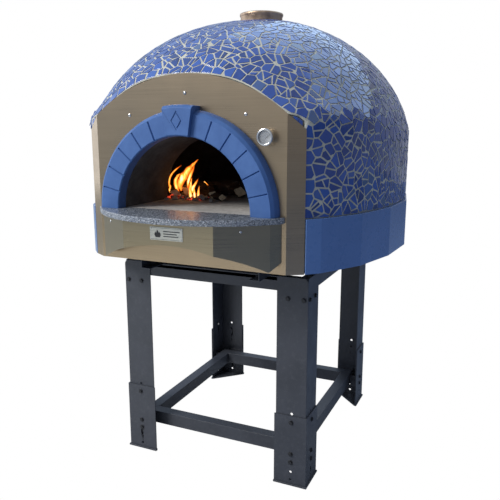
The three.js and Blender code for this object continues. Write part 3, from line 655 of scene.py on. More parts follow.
def front_planes():
    """Point and inward normal of the front sheet's flat face and of its two wings."""
    run = Vector((WING_X - FOLD_X, WING_Y - FRONT_Y, 0)).normalized()
    planes = [(Vector((0, FRONT_Y, 0)), Vector((0, 1, 0)))]
    for side in (-1, 1):
        planes.append((Vector((side * FOLD_X, FRONT_Y, 0)), Vector((-side * run.y, run.x, 0))))
    return planes


FRONT_PLANES = front_planes()


def behind_front(point, surface_normal):
    """How far a point lies behind the front sheet, measured along the surface."""
    origin, inward = min(FRONT_PLANES, key=lambda plane: (point - plane[0]).dot(plane[1]))
    slope = math.sqrt(max(0.0, 1 - surface_normal.dot(inward) ** 2))
    return (point - origin).dot(inward) / max(0.3, slope)


def dome_shell(name, material, inset, thickness, clearance):
    """A closed shell under the dome's surface, trimmed behind the front sheet, with a hole for the flue."""
    verts, faces = grid_mesh(dome_grid(inset, SKIRT_TOP + 0.4 * MM, 192, 10, 44))
    obj = mesh_object(name, verts, faces, material, smooth=True)
    bm = bmesh.new()
    bm.from_mesh(obj.data)
    for origin, normal in FRONT_PLANES:
        geometry = list(bm.verts) + list(bm.edges) + list(bm.faces)
        place = origin + normal * clearance
        bmesh.ops.bisect_plane(bm, geom=geometry, plane_co=place, plane_no=normal, clear_inner=True)
    hole = COLLAR_RADIUS - 0.012
    axis = Vector((0, COLLAR_Y))
    doomed = [f for f in bm.faces if (f.calc_center_median().xy - axis).length < hole and f.normal.z > 0.5]
    bmesh.ops.delete(bm, geom=doomed, context="FACES")
    bmesh.ops.recalc_face_normals(bm, faces=bm.faces)
    bm.to_mesh(obj.data)
    bm.free()
    thick = obj.modifiers.new("thick", "SOLIDIFY")
    thick.thickness = thickness
    thick.offset = -1
    return baked(obj)


# ---------------------------------------------------------------- broken tiles
def clip(polygon, normal, limit):
    """The part of a convex polygon where the point's dot product with normal is at most limit."""
    kept = []
    for a, b in zip(polygon, polygon[1:] + polygon[:1]):
        da, db = a.dot(normal) - limit, b.dot(normal) - limit
        if da <= 0:
            kept.append(a)
        if (da < 0 < db) or (db < 0 < da):
            kept.append(a.lerp(b, da / (da - db)))
    return kept


def area_of(polygon):
    return 0.5 * sum(a.x * b.y - b.x * a.y for a, b in zip(polygon, polygon[1:] + polygon[:1]))


def centre_of(polygon):
    return sum(polygon, Vector((0, 0))) / len(polygon)


def break_up(polygon, rng, depth=0):
    """Splits a polygon along random cracks until its shards are small enough."""
    area = area_of(polygon)
    if depth > 3 or area < SHARD_AREA * rng.uniform(0.75, 2.3):
        return [polygon]
    centre = centre_of(polygon)
    far = max(polygon, key=lambda p: (p - centre).length) - centre
    angle = math.atan2(far.y, far.x) + rng.gauss(0, 0.5)
    normal = Vector((math.cos(angle), math.sin(angle)))
    limit = centre.dot(normal) + rng.uniform(-0.18, 0.18) * far.length
    halves = [clip(polygon, normal, limit), clip(polygon, -normal, -limit)]
    return [shard for half in halves if len(half) > 2 for shard in break_up(half, rng, depth + 1)]


def shrink(polygon, amount):
    """Moves each side of a convex polygon inwards."""
    shape = polygon
    for a, b in zip(polygon, polygon[1:] + polygon[:1]):
        side = b - a
        if side.length < 1e-6 or len(shape) < 3:
            continue
        outward = Vector((side.y, -side.x)).normalized()
        shape = clip(shape, outward, a.dot(outward) - amount)
    return shape


def tidy(polygon, shortest=0.003):
    """Drops corners that lie closer together than a nibble."""
    kept = [p for i, p in enumerate(polygon) if (p - polygon[i - 1]).length > shortest]
    return kept if len(kept) > 2 else []


def edge_row(points, depth, spacing, rng):
    """Seeds along the line that runs at a depth behind the front sheet."""
    line = sorted((p for p, back in points if abs(back - depth) < 0.004),
                  key=lambda p: math.atan2(p.z - HEARTH_Z, p.x))
    seeds = []
    for p in line:
        if all((p - q).length > spacing * rng.uniform(0.8, 1.1) for q in seeds[-3:]):
            seeds.append(p)
    return seeds


def scatter(surface, rng):
    """Seeds all over the surface: a row beside the front sheet, then a random, even cover."""
    faces = list(surface.polygons)
    weights = [f.area for f in faces]
    picks = rng.choices(faces, weights, k=SAMPLES)
    points = []
    for face in picks:
        corners = [surface.vertices[i].co for i in face.vertices]
        u, v = rng.random(), rng.random()
        if len(corners) == 4:
            point = corners[0].lerp(corners[1], u).lerp(corners[3].lerp(corners[2], u), v)
        else:
            point = corners[0].lerp(corners[1], u).lerp(corners[2], v)
        back = behind_front(point, face.normal)
        if back > 0.002 and point.z > SKIRT_TOP - 0.02:
            points.append((point, back))
    seeds = edge_row(points, ROW_DEPTH, ROW_SPACING, rng)
    cells = {}

    def cell(p):
        return tuple(int(math.floor(c / CELL_SPACING)) for c in p)

    def add(p):
        cells.setdefault(cell(p), []).append(p)

    def crowded(p, spacing):
        x, y, z = cell(p)
        near = ((i, j, k) for i in (x - 1, x, x + 1) for j in (y - 1, y, y + 1) for k in (z - 1, z, z + 1))
        return any((p - q).length < spacing for key in near for q in cells.get(key, ()))

    for p in seeds:
        add(p)
    row_count = len(seeds)
    for p, back in points:
        if back > ROW_DEPTH + 0.014 and not crowded(p, CELL_SPACING * rng.uniform(0.72, 1.0)):
            add(p)
            seeds.append(p)
    return seeds, row_count


def tile_outlines(seeds, row_count, tree, rng):
    """Shards round each seed as (place, two tangents, normal, outline)."""
    index = kdtree.KDTree(len(seeds))
    for i, p in enumerate(seeds):
        index.insert(p, i)
    index.balance()
    shards = []
    for i, p in enumerate(seeds):
        normal = tree.find_nearest(p)[1]
        across = normal.cross(Vector((0, 0, 1)) if abs(normal.z) < 0.9 else Vector((1, 0, 0))).normalized()
        upward = normal.cross(across)

        def local(v):
            return Vector((v.dot(across), v.dot(upward)))

        cell = [Vector((x, y)) * CELL_REACH for x, y in ((-1, -1), (1, -1), (1, 1), (-1, 1))]
        for q, j, distance in index.find_range(p, NEIGHBOUR_REACH):
            if j != i and len(cell) > 2:
                flat = local(q - p)
                if flat.length > 1e-4:
                    cell = clip(cell, flat.normalized(), distance / 2)
        for origin, inward in FRONT_PLANES:
            cell = clip(cell, -local(inward), (p - origin).dot(inward) - FRONT_GAP)
        cell = clip(cell, -local(Vector((0, 0, 1))), p.z - SKIRT_TOP - RIM_GAP)
        out = Vector((p.x, p.y - COLLAR_Y, 0))
        if len(cell) > 2:
            cell = clip(cell, -local(out.normalized()), out.length - COLLAR_RADIUS - RIM_GAP)
        if len(cell) < 3 or area_of(cell) < SMALLEST_CELL:
            continue
        whole = i < row_count and rng.random() < 0.8
        for shard in ([cell] if whole else break_up(cell, rng)):
            shape = tidy(shrink(shard, GROUT_HALF * rng.uniform(0.75, 1.25)))
            if shape and area_of(shape) > SMALLEST_SHARD:
                shards.append((p, across, upward, normal, nibbled(shape, rng)))
    return shards


def wing_shards(tree):
    """Small shards on the flat cut between the top edge of a wing and the dome."""
    shards = []
    for side, (origin, inward) in zip((-1, 1), FRONT_PLANES[1:]):
        normal = -inward
        upward = Vector((0, 0, 1))
        across = upward.cross(normal)

        def corners(x):
            run = (side * x - origin.x) / across.x
            foot = origin + across * run
            sheet = FRONT_ARC_Z + math.sqrt(FRONT_ARC_RADIUS ** 2 - x * x)
            hit = tree.ray_cast(Vector((foot.x, foot.y, 3.0)), Vector((0, 0, -1)))[0]
            return run, sheet + 1.2 * MM, (hit.z if hit else sheet) - 1.5 * MM

        for x0, x1 in WING_SHARDS:
            a, b = sorted((corners(x0), corners(x1)))
            if min(a[2] - a[1], b[2] - b[1]) < 2.0 * MM:
                continue
            place = origin + across * a[0] + upward * a[1] + inward * 0.6 * MM
            outline = [(a[0], a[1]), (b[0], b[1]), (b[0], b[2]), (a[0], a[2])]
            shape = [Vector((x - a[0], z - a[1])) for x, z in outline]
            shards.append((place, across, upward, normal, shape))
    return shards


def nibbled(shape, rng):
    """Breaks a corner off some of the shards."""
    if len(shape) < 4 or rng.random() > 0.35:
        return shape
    centre = centre_of(shape)
    corner = rng.choice(shape) - centre
    angle = math.atan2(corner.y, corner.x) + rng.gauss(0, 0.25)
    normal = Vector((math.cos(angle), math.sin(angle)))
    cut_shape = clip(shape, normal, centre.dot(normal) + corner.length * rng.uniform(0.62, 0.85))
    return tidy(cut_shape) or shape


def tile_solids(shards, rng):
    """Each shard is a flat prism with a chamfered rim, set into the bed with a slight tilt."""
    verts, faces, tints = [], [], []
    for place, across, upward, normal, shape in shards:
        centre = centre_of(shape)
        reach = max((p - centre).length for p in shape)
        sag = reach * reach / 2.2
        lift = TILE_PROUD - sag + rng.uniform(-0.2, 0.35) * MM
        slope = Vector((rng.gauss(0, 0.010), rng.gauss(0, 0.010)))
        middle = place + across * centre.x + upward * centre.y
        away = (middle - place).length
        drop = away * away / 1.6
        rings = []
        levels = ((shape, -TILE_SUNK), (shape, lift - CHAMFER * 0.6), (shrink(shape, CHAMFER), lift))
        for outline, height in levels:
            if len(outline) != len(shape):
                outline = [centre + (p - centre) * 0.93 for p in shape]
            ring = []
            for p in outline:
                tilt = (p - centre).dot(slope) if height > -TILE_SUNK else 0.0
                ring.append(place + across * p.x + upward * p.y + normal * (height - drop + tilt))
            rings.append(ring)
        base, count = len(verts), len(shape)
        verts += [p for ring in rings for p in ring]
        faces += [[base + i for i in face] for face in tube_faces(count, 2)]
        tints += [rng.random()] * (3 * count)
    return verts, faces, tints


def mosaic():
    rng = random.Random(41)
    verts, faces = grid_mesh(dome_grid(0.0, SKIRT_TOP - 0.02, 160, 8, 40))
    surface = mesh_object("dome_surface", verts, faces)
    tree = bvhtree.BVHTree.FromPolygons([v.co for v in surface.data.vertices],
                                        [list(f.vertices) for f in surface.data.polygons])
    seeds, row_count = scatter(surface.data, rng)
    shards = tile_outlines(seeds, row_count, tree, rng)
    verts, faces, tints = tile_solids(shards + wing_shards(tree), rng)
    bpy.data.objects.remove(surface)
    tiles = mesh_object("mosaic_tiles", verts, faces, GLAZE)
    attribute = tiles.data.attributes.new("tint", "FLOAT", "POINT")
    attribute.data.foreach_set("value", tints)
    rides(tiles)
    bed = dome_shell("mosaic_bed", GROUT, GROUT_INSET, 3.0 * MM, 2.6 * MM)
    stands_for(bed, "mosaic_skin", slot="cement_render")
    stands_for(dome_shell("cement_shell_formed", CEMENT, 8.0 * MM, 16.0 * MM, 5.0 * MM), "cement_shell")


# ---------------------------------------------------------------- stand
def stand():
    for corner, sx, sy in CORNERS:
        softened("foot_plate_" + corner, PAINT, 1.2 * MM)
        softened("leg_sleeve_" + corner, PAINT, 1.0 * MM)
        softened("upper_leg_" + corner, PAINT, 1.0 * MM)
        softened("ring_bracket_" + corner, PAINT, 1.5 * MM)
    for side in ("front", "rear", "left", "right"):
        softened("ring_tube_" + side, PAINT, 2.5 * MM, 3)
        softened("top_rail_" + side, PAINT, 1.2 * MM)
    softened("base_beam_left", PAINT, 1.5 * MM)
    softened("base_beam_right", PAINT, 1.5 * MM)
    softened("base_plate", PAINT, 0.8 * MM)
    leg_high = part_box("upper_leg_front_right")[1]
    leg_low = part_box("upper_leg_front_left")[0]
    sleeve_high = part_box("leg_sleeve_front_right")[1]
    sleeve_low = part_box("leg_sleeve_front_left")[0]
    rear_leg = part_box("upper_leg_rear_right")[1].y
    rear_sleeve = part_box("leg_sleeve_rear_right")[1].y
    fixed, moving = [], []
    for corner, sx, sy in CORNERS:
        leg_face = rear_leg if sy > 0 else leg_low.y
        sleeve_face = rear_sleeve if sy > 0 else sleeve_low.y
        column = sx * (leg_high.x - HOLE_FROM_CORNER)
        row = leg_face - sy * HOLE_FROM_CORNER
        for z in LOCK_HEIGHTS:
            fixed.append(hex_bolt((column, sleeve_face, z), (0, sy, 0), z * 9 + sx))
            fixed.append(hex_bolt((sx * sleeve_high.x, row, z), (sx, 0, 0), z * 7 + sy))
        for inset in RAIL_BOLTS_FRONT:
            place = (sx * (leg_high.x - inset), leg_face, RAIL_BOLT_HEIGHT)
            moving.append(hex_bolt(place, (0, sy, 0), inset * 40))
        for inset in RAIL_BOLTS_SIDE:
            place = (sx * leg_high.x, leg_face - sy * inset, RAIL_BOLT_HEIGHT)
            moving.append(hex_bolt(place, (sx, 0, 0), inset * 50))
    for name, bolts, body in (("sleeve_bolts", fixed, "stand_base"), ("rail_bolts", moving, "oven")):
        rides(joined(name, bolts), body)


def hex_bolt(place, direction, roll):
    """Washer and hexagonal head, seated on a flange's face."""
    section = [(0, 0), (10.5, 0), (10.5, 1.4), (10.0, 1.8), (0, 1.8)]
    washer = turned("washer", [(r * MM, z * MM) for r, z in section], 32)
    corner = 8.2 * MM
    outline = [(corner * math.cos(i * math.pi / 3), corner * math.sin(i * math.pi / 3)) for i in range(6)]
    head = round_edges(prism("head", outline, 1.7 * MM, 7.0 * MM), 0.7 * MM, 2)
    bolt = joined("bolt", [washer, head])
    bolt.data.materials.append(BLACK_OXIDE)
    return placed(bolt, place, direction, roll)


# ---------------------------------------------------------------- front
def front():
    softened("front_panel", FRONT_STEEL, 0.7 * MM, 2, 12)
    softened("apron", APRON_STEEL, 0.7 * MM, 2, 12)
    softened("skirt", SKIRT_PAINT, 9.0 * MM, 4, 5)
    softened("arch_left", ARCH_PAINT, 1.1 * MM, 2, 20)
    softened("arch_right", ARCH_PAINT, 1.1 * MM, 2, 20)
    softened("keystone", ARCH_PAINT, 1.4 * MM, 3, 20)
    shelf()
    for name in ("left", "top", "right"):
        low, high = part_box("front_screw_" + name)
        place = ((low.x + high.x) / 2, high.y - 2.3 * MM, (low.z + high.z) / 2)
        screw = cross_screw("front_screw_%s_formed" % name, place, (0, -1, 0), 6.9 * MM)
        stands_for(screw, "front_screw_" + name)
    for x, y, turn in ((-0.300, -0.6965, -0.64), (0.276, -0.7120, 0.64)):
        side = "left" if x < 0 else "right"
        screw = cross_screw("apron_screw_" + side, (x, y, 1.142), (turn, -1, 0), 5.2 * MM)
        rides(screw)


def cross_screw(name, place, direction, radius):
    """A domed head with a cross recess."""
    rim = 0.3 * MM
    top = rim + 0.48 * radius
    angles = [i * math.pi / 16 for i in range(8)]
    dome = [(radius * math.cos(a), rim + (top - rim) * math.sin(a)) for a in angles]
    head = turned(name, [(0, 0)] + dome + [(0, top)], 40, STEEL)
    for angle in (0.4, 0.4 + math.pi / 2):
        half, arm = 0.11 * radius, 0.52 * radius
        outline = [(-arm, -half), (arm, -half), (arm, half), (-arm, half)]
        slot = placed(prism("slot", outline, top * 0.45, top * 1.4), (0, 0, 0), (0, 0, 1), angle)
        cut(head, slot)
    shade_by_angle(head, 35)
    return placed(head, place, direction)


def shelf():
    """Granite slab: flat top with an eased edge, and a split, hammered front edge."""
    low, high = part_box("granite_shelf")
    radius = SHELF_RADIUS
    centre = low.y + radius
    spread = math.asin(high.x / radius)
    inset = 0.8 * MM
    columns, rows = 220, 9
    rings = []
    for row in range(rows + 1):
        z = low.z + (high.z - low.z) * row / rows
        ease = SHELF_EASE if row in (0, rows) else 0.0
        ring = []
        for i in range(columns + 1):
            a = -spread + 2 * spread * i / columns
            split = 0.5 + 0.5 * noise.fractal(Vector((a * 26, z * 55, 3.0)), 1.0, 2.0, 4)
            split = max(0.0, min(1.0, split)) * (0.35 if row in (0, rows) else 1.0)
            reach = radius - inset - ease - SHELF_SPLIT * split
            ring.append((reach * math.sin(a), centre - reach * math.cos(a), z))
        ring += [(high.x - ease, high.y, z), (low.x + ease, high.y, z)]
        rings.append(ring)
    verts = [p for ring in rings for p in ring]
    obj = mesh_object("granite_shelf_formed", verts, tube_faces(len(rings[0]), rows), GRANITE_EDGE)
    obj.data.materials.append(GRANITE_TOP)
    for face in obj.data.polygons:
        face.material_index = 1 if abs(face.normal.z) > 0.9 else 0
    stands_for(shade_by_angle(obj, 40), "granite_shelf")


def name_plate():
    low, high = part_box("name_plate")
    softened("name_plate", PLATE_STEEL, 0.5 * MM)
    face = low.y
    middle_z = (low.z + high.z) / 2
    pieces = []
    tongues = [(-9, -14), (-14, -6), (-13, 2), (-9, 7), (-8, 1), (-5, 5), (-3, 15), (2, 9), (5, 2), (8, 6),
               (12, 0), (13, -7), (9, -14)]
    pieces.append(relief([(x * MM - 0.036, z * MM) for x, z in tongues], face, middle_z))
    bars = [(-12 * MM, end * MM, height * MM, 1.7 * MM) for height, end in ((9, 58), (0, 46), (-9, 52))]
    half_x, half_z = high.x - 4 * MM, (high.z - low.z) / 2 - 4 * MM
    lines = [(-half_x, half_x, side * half_z, 0.5 * MM) for side in (-1, 1)]
    for x0, x1, z, half in bars + lines:
        bar = [(x0, z - half), (x1, z - half), (x1, z + half), (x0, z + half)]
        pieces.append(relief(bar, face, middle_z))
    marks = joined("plate_marks", pieces)
    marks.data.materials.append(INK)
    rides(marks)
    section = [(r * MM, z * MM) for r, z in ((0, 0), (2.3, 0), (2.0, 0.7), (1.1, 1.1), (0, 1.2))]
    rivets = []
    for sx in (-1, 1):
        for sz in (-1, 1):
            place = (sx * (high.x - 7 * MM), face, middle_z + sz * ((high.z - low.z) / 2 - 7 * MM))
            rivets.append(placed(turned("rivet", section, 20), place, (0, -1, 0)))
    group = joined("plate_rivets", rivets)
    group.data.materials.append(STEEL)
    rides(shade_by_angle(group, 50))


def relief(outline, face, middle_z):
    """A shape raised 0.35 mm from a face that looks along -Y."""
    shape = prism("relief", outline, 0.0, 0.35 * MM)
    turn = Matrix.Rotation(math.pi / 2, 4, "X")
    shape.data.transform(Matrix.Translation((0, face, middle_z)) @ turn)
    return shape


# ---------------------------------------------------------------- thermometer
def gauge():
    low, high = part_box("gauge_case")
    centre = Vector(((low.x + high.x) / 2, 0, (low.z + high.z) / 2))
    back = high.y
    radius = (high.x - low.x) / 2
    dial_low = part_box("gauge_dial")[0].y
    glass_low, glass_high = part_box("gauge_glass")
    inner = glass_high.x - centre.x
    bezel_low, bezel_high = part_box("gauge_bezel")
    bezel = (bezel_high.x - bezel_low.x) / 2

    def seat(obj, y, *replaced):
        placed(obj, (centre.x, y, centre.z), (0, -1, 0))
        return stands_for(obj, *replaced) if replaced else obj

    depth = back - low.y
    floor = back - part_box("gauge_dial")[1].y
    lip = inner + 0.2 * MM
    case = [(0, 0), (radius - 1 * MM, 0), (radius, 1 * MM), (radius, depth - 0.4 * MM),
            (lip, depth - 0.4 * MM), (lip, floor), (0, floor)]
    seat(turned("gauge_case_formed", case, 96, STEEL), back, "gauge_case")
    deep = back - bezel_low.y
    ring = [(inner - 1.5 * MM, deep - 0.6 * MM), (inner - 0.6 * MM, deep - 0.1 * MM),
            (radius - 1 * MM, deep), (bezel - 0.8 * MM, deep - 0.5 * MM), (bezel, deep - 1.6 * MM),
            (bezel, deep - 7.4 * MM),
            (bezel - 0.6 * MM, deep - 8.2 * MM), (radius + 0.3 * MM, deep - 8.2 * MM),
            (radius + 0.3 * MM, deep - 3 * MM), (inner - 1.2 * MM, deep - 2.2 * MM)]
    seat(turned("gauge_bezel_formed", ring, 96, STEEL, 50), back, "gauge_bezel")
    thick = glass_high.y - glass_low.y
    rim = inner - 0.4 * MM
    glass = [(0, 0), (rim, 0), (rim, thick * 0.8), (inner * 0.6, thick * 0.94), (0, thick)]
    seat(turned("gauge_glass_formed", glass, 96, GLASS), glass_high.y, "gauge_glass")
    dial = [(0, 0), (inner - 0.3 * MM, 0), (inner - 0.3 * MM, 1.0 * MM), (0, 1.0 * MM)]
    seat(turned("gauge_dial_formed", dial, 96, SHADED_DIAL_ENAMEL), dial_low + 1 * MM, "gauge_dial")
    marks = []
    for step in range(DIAL_STEPS + 1):
        turn = math.radians(DIAL_START + DIAL_SWEEP * step / DIAL_STEPS)
        major = step % 5 == 0
        length, half = (3.6 * MM, 0.35 * MM) if major else (1.9 * MM, 0.14 * MM)
        outer = inner - 2.6 * MM
        tick = [(-half, outer - length), (half, outer - length), (half, outer), (-half, outer)]
        marks.append(prism("tick", [turned_by(p, turn) for p in tick], 0, 0.15 * MM))
    for number in range(DIAL_NUMBERS + 1):
        turn = math.radians(DIAL_START + DIAL_SWEEP * number / DIAL_NUMBERS)
        where = turned_by((0, inner - 10.0 * MM), turn)
        marks.append(lettering(str(number * 100), 4.0 * MM, where))
    marks.append(lettering("°C", 4.6 * MM, (0, -0.5 * inner)))
    printed = joined("gauge_marks", marks)
    printed.data.materials.clear()
    printed.data.materials.append(INK)
    turn = Matrix.Rotation(math.pi / 2, 4, "X")
    printed.data.transform(Matrix.Translation((centre.x, dial_low, centre.z)) @ turn)
    rides(printed)
    softened("gauge_needle", PLASTIC, 0.15 * MM, 2)
    softened("gauge_stem", STEEL, 0.5 * MM, 2, 60)


def turned_by(point, angle):
    """The point turned clockwise, seen from the front."""
    x, z = point
    return x * math.cos(angle) + z * math.sin(angle), z * math.cos(angle) - x * math.sin(angle)


def lettering(text, size, where):
    """Flat raised characters, centred on a place of the dial."""
    curve = bpy.data.curves.new("text", "FONT")
    curve.body = text
    curve.size = size
    curve.align_x = "CENTER"
    curve.align_y = "CENTER"
    curve.extrude = 0.07 * MM
    curve.resolution_u = 3
    obj = link(bpy.data.objects.new("text", curve))
    bpy.context.view_layer.update()
    mesh = bpy.data.meshes.new_from_object(obj.evaluated_get(bpy.context.evaluated_depsgraph_get()))
    bpy.data.objects.remove(obj)
    mesh.transform(Matrix.Translation((where[0], where[1], 0.07 * MM)))
    bm = bmesh.new()
    bm.from_mesh(mesh)
    bmesh.ops.remove_doubles(bm, verts=bm.verts, dist=1e-6)
    bm.to_mesh(mesh)
    bm.free()
    return link(bpy.data.objects.new("letters", mesh))


# ---------------------------------------------------------------- flue
def flue():
    low, high = COLLAR_LOW, COLLAR_HIGH
    outer = COLLAR_RADIUS
    tall = high.z - low.z
    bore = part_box("flue_duct")[1].x + 0.4 * MM
    flare = [(4, 16), (1.5, 13), (0, 9), (0, 4), (2, 1), (5, 0)]
    section = [(bore, 0), (outer - 4 * MM, 0)]
    section += [(outer - inward * MM, tall - drop * MM) for inward, drop in flare]
    section += [(bore + 1.5 * MM, tall), (bore, tall - 1.5 * MM)]
    collar = turned("flue_collar_formed", section, 96, FLUE, 50)
    stands_for(placed(collar, (0, COLLAR_Y, low.z)), "flue_collar")
    duct_low, duct_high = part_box("flue_duct")
    wall = 4.6 * MM
    tube = [(duct_high.x - wall, 0), (duct_high.x, 0), (duct_high.x, duct_high.z - duct_low.z),
            (duct_high.x - wall, duct_high.z - duct_low.z)]
    stands_for(placed(turned("flue_duct_formed", tube, 96, FLUE), (0, COLLAR_Y, duct_low.z)), "flue_duct")


# ---------------------------------------------------------------- chamber, hearth and fire
def chamber():
    for node, material in (("refractory_dome", SOOT_DOME), ("mouth_vault", SOOT), ("mouth_slab", HEARTH)):
        softened(node, material, 1.0 * MM, 2, 35)
    for node in nodes:
        if node.startswith("hearth_slab_"):
            softened(node, HEARTH, 1.2 * MM, 2, 35)


def log(name, start, end, radius, rng, split=False):
    """A piece of firewood: a lumpy, tapering log, or a split quarter, with bark round its sides and pale
    wood at its two ends.
    """
    along = Vector(end) - Vector(start)
    columns, rows = 22, 14
    verts = []
    phase = rng.uniform(0, 50)
    for r in range(rows + 1):
        for c in range(columns):
            a = 2 * math.pi * c / columns
            if split:
                edge = 1.0 / max(abs(math.cos(a)), abs(math.sin(a - 0.35)), 0.62)
                reach = radius * (0.72 * edge)
            else:
                reach = radius
            lump = noise.noise(Vector((2.2 * math.cos(a) + phase, 2.2 * math.sin(a), 3.0 * r / rows)))
            fine = noise.noise(Vector((9 * math.cos(a) + phase, 9 * math.sin(a), 14.0 * r / rows)))
            reach *= 1 + 0.13 * lump + 0.06 * fine
            if r in (0, rows):
                reach *= 0.93
            verts.append((reach * math.cos(a), reach * math.sin(a), along.length * r / rows + 0.002 * fine))
    obj = mesh_object(name, verts, tube_faces(columns, rows), BARK)
    obj.data.materials.append(WOOD_END)
    for face in obj.data.polygons[-2:]:
        face.material_index = 1
    shade_by_angle(obj, 45)
    return placed(obj, start, along)


def firewood():
    rng = random.Random(7)
    z = HEARTH_Z
    stack = [
        ("log_left", (-0.262, -0.262, z + 0.022), (-0.405, -0.065, z + 0.040), 0.024, True),
        ("log_back", (-0.330, -0.130, z + 0.034), (-0.040, -0.050, z + 0.036), 0.034, False),
        ("log_middle", (-0.225, -0.225, z + 0.030), (-0.290, 0.090, z + 0.100), 0.026, True),
        ("log_right", (-0.075, -0.250, z + 0.022), (-0.205, -0.020, z + 0.050), 0.022, True),
        ("log_low", (-0.010, -0.290, z + 0.018), (-0.190, -0.150, z + 0.022), 0.018, True),
        ("log_far_right", (0.010, -0.150, z + 0.030), (-0.120, 0.020, z + 0.034), 0.029, True),
    ]
    for name, start, end, radius, split in stack:
        rides(log(name, start, end, radius, rng, split))
    embers(rng)
    for name, blades in FLAMES.items():
        flame(name, blades)


def embers(rng):
    """Glowing coals and pale ash flakes strewn round the foot of the fire."""
    coals, flakes = [], []
    for _ in range(90):
        x = rng.gauss(-0.190, 0.050)
        y = rng.gauss(-0.235, 0.045)
        size = rng.uniform(0.006, 0.018)
        coal = bmesh.new()
        bmesh.ops.create_icosphere(coal, subdivisions=1, radius=size)
        for v in coal.verts:
            v.co += Vector([rng.uniform(-0.22, 0.22) * size for _ in range(3)])
            v.co.z = max(v.co.z * 0.75, -0.4 * size)
        mesh = bpy.data.meshes.new("coal")
        bmesh.ops.translate(coal, verts=coal.verts, vec=(x, y, HEARTH_Z + 0.45 * size))
        coal.to_mesh(mesh)
        coal.free()
        obj = link(bpy.data.objects.new("coal", mesh))
        (flakes if rng.random() < 0.6 else coals).append(obj)
    for name, group, material in (("embers", coals, EMBER), ("ash", flakes, ASH)):
        heap = joined(name, group)
        heap.data.materials.append(material)
        rides(heap)


FIRE_X = -0.025
FIRE_SPREAD = 0.66

# Each blade is a run of (x, z, half width) in mm at a distance y from the front; the last one is its tip
FLAMES = {
    "flame_big": (-252, [(-322, 1222, 8), (-330, 1252, 22), (-305, 1283, 26), (-270, 1312, 22),
                         (-236, 1335, 13), (-205, 1354, 6), (-186, 1366, 1)]),
    "flame_second": (-238, [(-285, 1235, 5), (-276, 1268, 10), (-256, 1298, 11), (-240, 1318, 8),
                            (-226, 1338, 1)]),
    "flame_left": (-246, [(-352, 1214, 9), (-366, 1240, 15), (-372, 1264, 14), (-356, 1286, 9),
                          (-334, 1300, 1)]),
    "flame_far": (-232, [(-420, 1214, 4), (-436, 1240, 6), (-433, 1272, 7), (-410, 1298, 6),
                         (-376, 1318, 5), (-335, 1336, 1)]),
    "flame_curl": (-262, [(-404, 1212, 4), (-408, 1228, 6), (-399, 1242, 5), (-414, 1254, 1)]),
    "flame_root": (-280, [(-222, 1192, 9), (-226, 1212, 12), (-230, 1236, 10), (-236, 1262, 1)]),
    "flame_root_two": (-272, [(-198, 1192, 7), (-202, 1212, 9), (-204, 1230, 6), (-208, 1246, 1)]),
    "flame_root_three": (-266, [(-178, 1192, 7), (-177, 1214, 9), (-174, 1232, 6), (-168, 1250, 1)]),
    "flame_middle": (-256, [(-232, 1216, 8), (-226, 1238, 11), (-206, 1258, 8), (-184, 1280, 1)]),
    "flame_upright": (-260, [(-238, 1228, 5), (-240, 1250, 8), (-236, 1268, 5), (-230, 1284, 1)]),
    "flame_wisp": (-235, [(-160, 1266, 1), (-148, 1264, 3), (-136, 1257, 3), (-124, 1250, 1)]),
}


def flame(name, blade):
    """A closed, lens-shaped tongue; its warmth is high along the core and low at the rim and the tip."""
    y, spine = blade
    path = [Vector((FIRE_X + FIRE_SPREAD * x * MM, y * MM, z * MM)) for x, z, _ in spine]
    widths = [0.78 * w * MM for _, _, w in spine]
    steps, columns = 10 * (len(path) - 1), 16
    verts, heats = [], []
    for s in range(steps + 1):
        u = s / 10
        i = min(int(u), len(path) - 2)
        t = u - i
        before, after = path[max(i - 1, 0)], path[min(i + 2, len(path) - 1)]
        a, b = path[i], path[i + 1]
        point = 0.5 * (2 * a + (b - before) * t + (2 * before - 5 * a + 4 * b - after) * t * t
                       + (3 * a - before - 3 * b + after) * t ** 3)
        smooth = t * t * (3 - 2 * t)
        width = widths[i] * (1 - smooth) + widths[i + 1] * smooth
        heading = (b - a).normalized()
        side = heading.cross(Vector((0, 1, 0))).normalized()
        flick = 0.16 * noise.noise(Vector((u * 1.7, y * 0.1, widths[i] * 300)))
        rise = s / steps
        for c in range(columns):
            a = 2 * math.pi * c / columns
            reach = width * (1 + flick)
            verts.append(point + side * reach * math.cos(a) + Vector((0, 0.35 * reach * math.sin(a), 0)))
            core = max(0.0, 1 - abs(math.cos(a)) ** 1.6)
            heats.append(core * (1 - 0.55 * rise ** 1.5) * min(1.0, 0.35 + 3 * rise))
    obj = faces_outward(mesh_object(name, verts, tube_faces(columns, steps), FLAME, smooth=True))
    attribute = obj.data.attributes.new("warmth", "FLOAT", "POINT")
    attribute.data.foreach_set("value", heats)
    rides(obj)


# ---------------------------------------------------------------- stage, light and camera
CAMERA = Vector((1.1666, -2.6114, 1.5112))
YAW = math.radians(24.20)
PITCH = math.radians(11.71)
LENS = 43.03
FLOOR_TONES = [(0.0, (0.66, 0.67, 0.62)), (0.35, (0.66, 0.65, 0.63)), (0.70, (0.27, 0.32, 0.42)),
               (1.0, (0.17, 0.22, 0.33))]
SKY_TONES = [(0.0, (0.17, 0.19, 0.22)), (0.32, (0.23, 0.25, 0.30)), (0.58, (0.40, 0.42, 0.46)),
             (0.95, (0.46, 0.60, 0.84))]
KEY_POWER = 330
FILL_POWER = 25
SKY_POWER = 120


def camera():
    data = bpy.data.cameras.new("camera")
    data.lens = LENS
    data.sensor_width = 36
    obj = link(bpy.data.objects.new("camera", data))
    obj.location = CAMERA
    obj.rotation_euler = (math.pi / 2 - PITCH, 0, YAW)
    bpy.context.scene.camera = obj


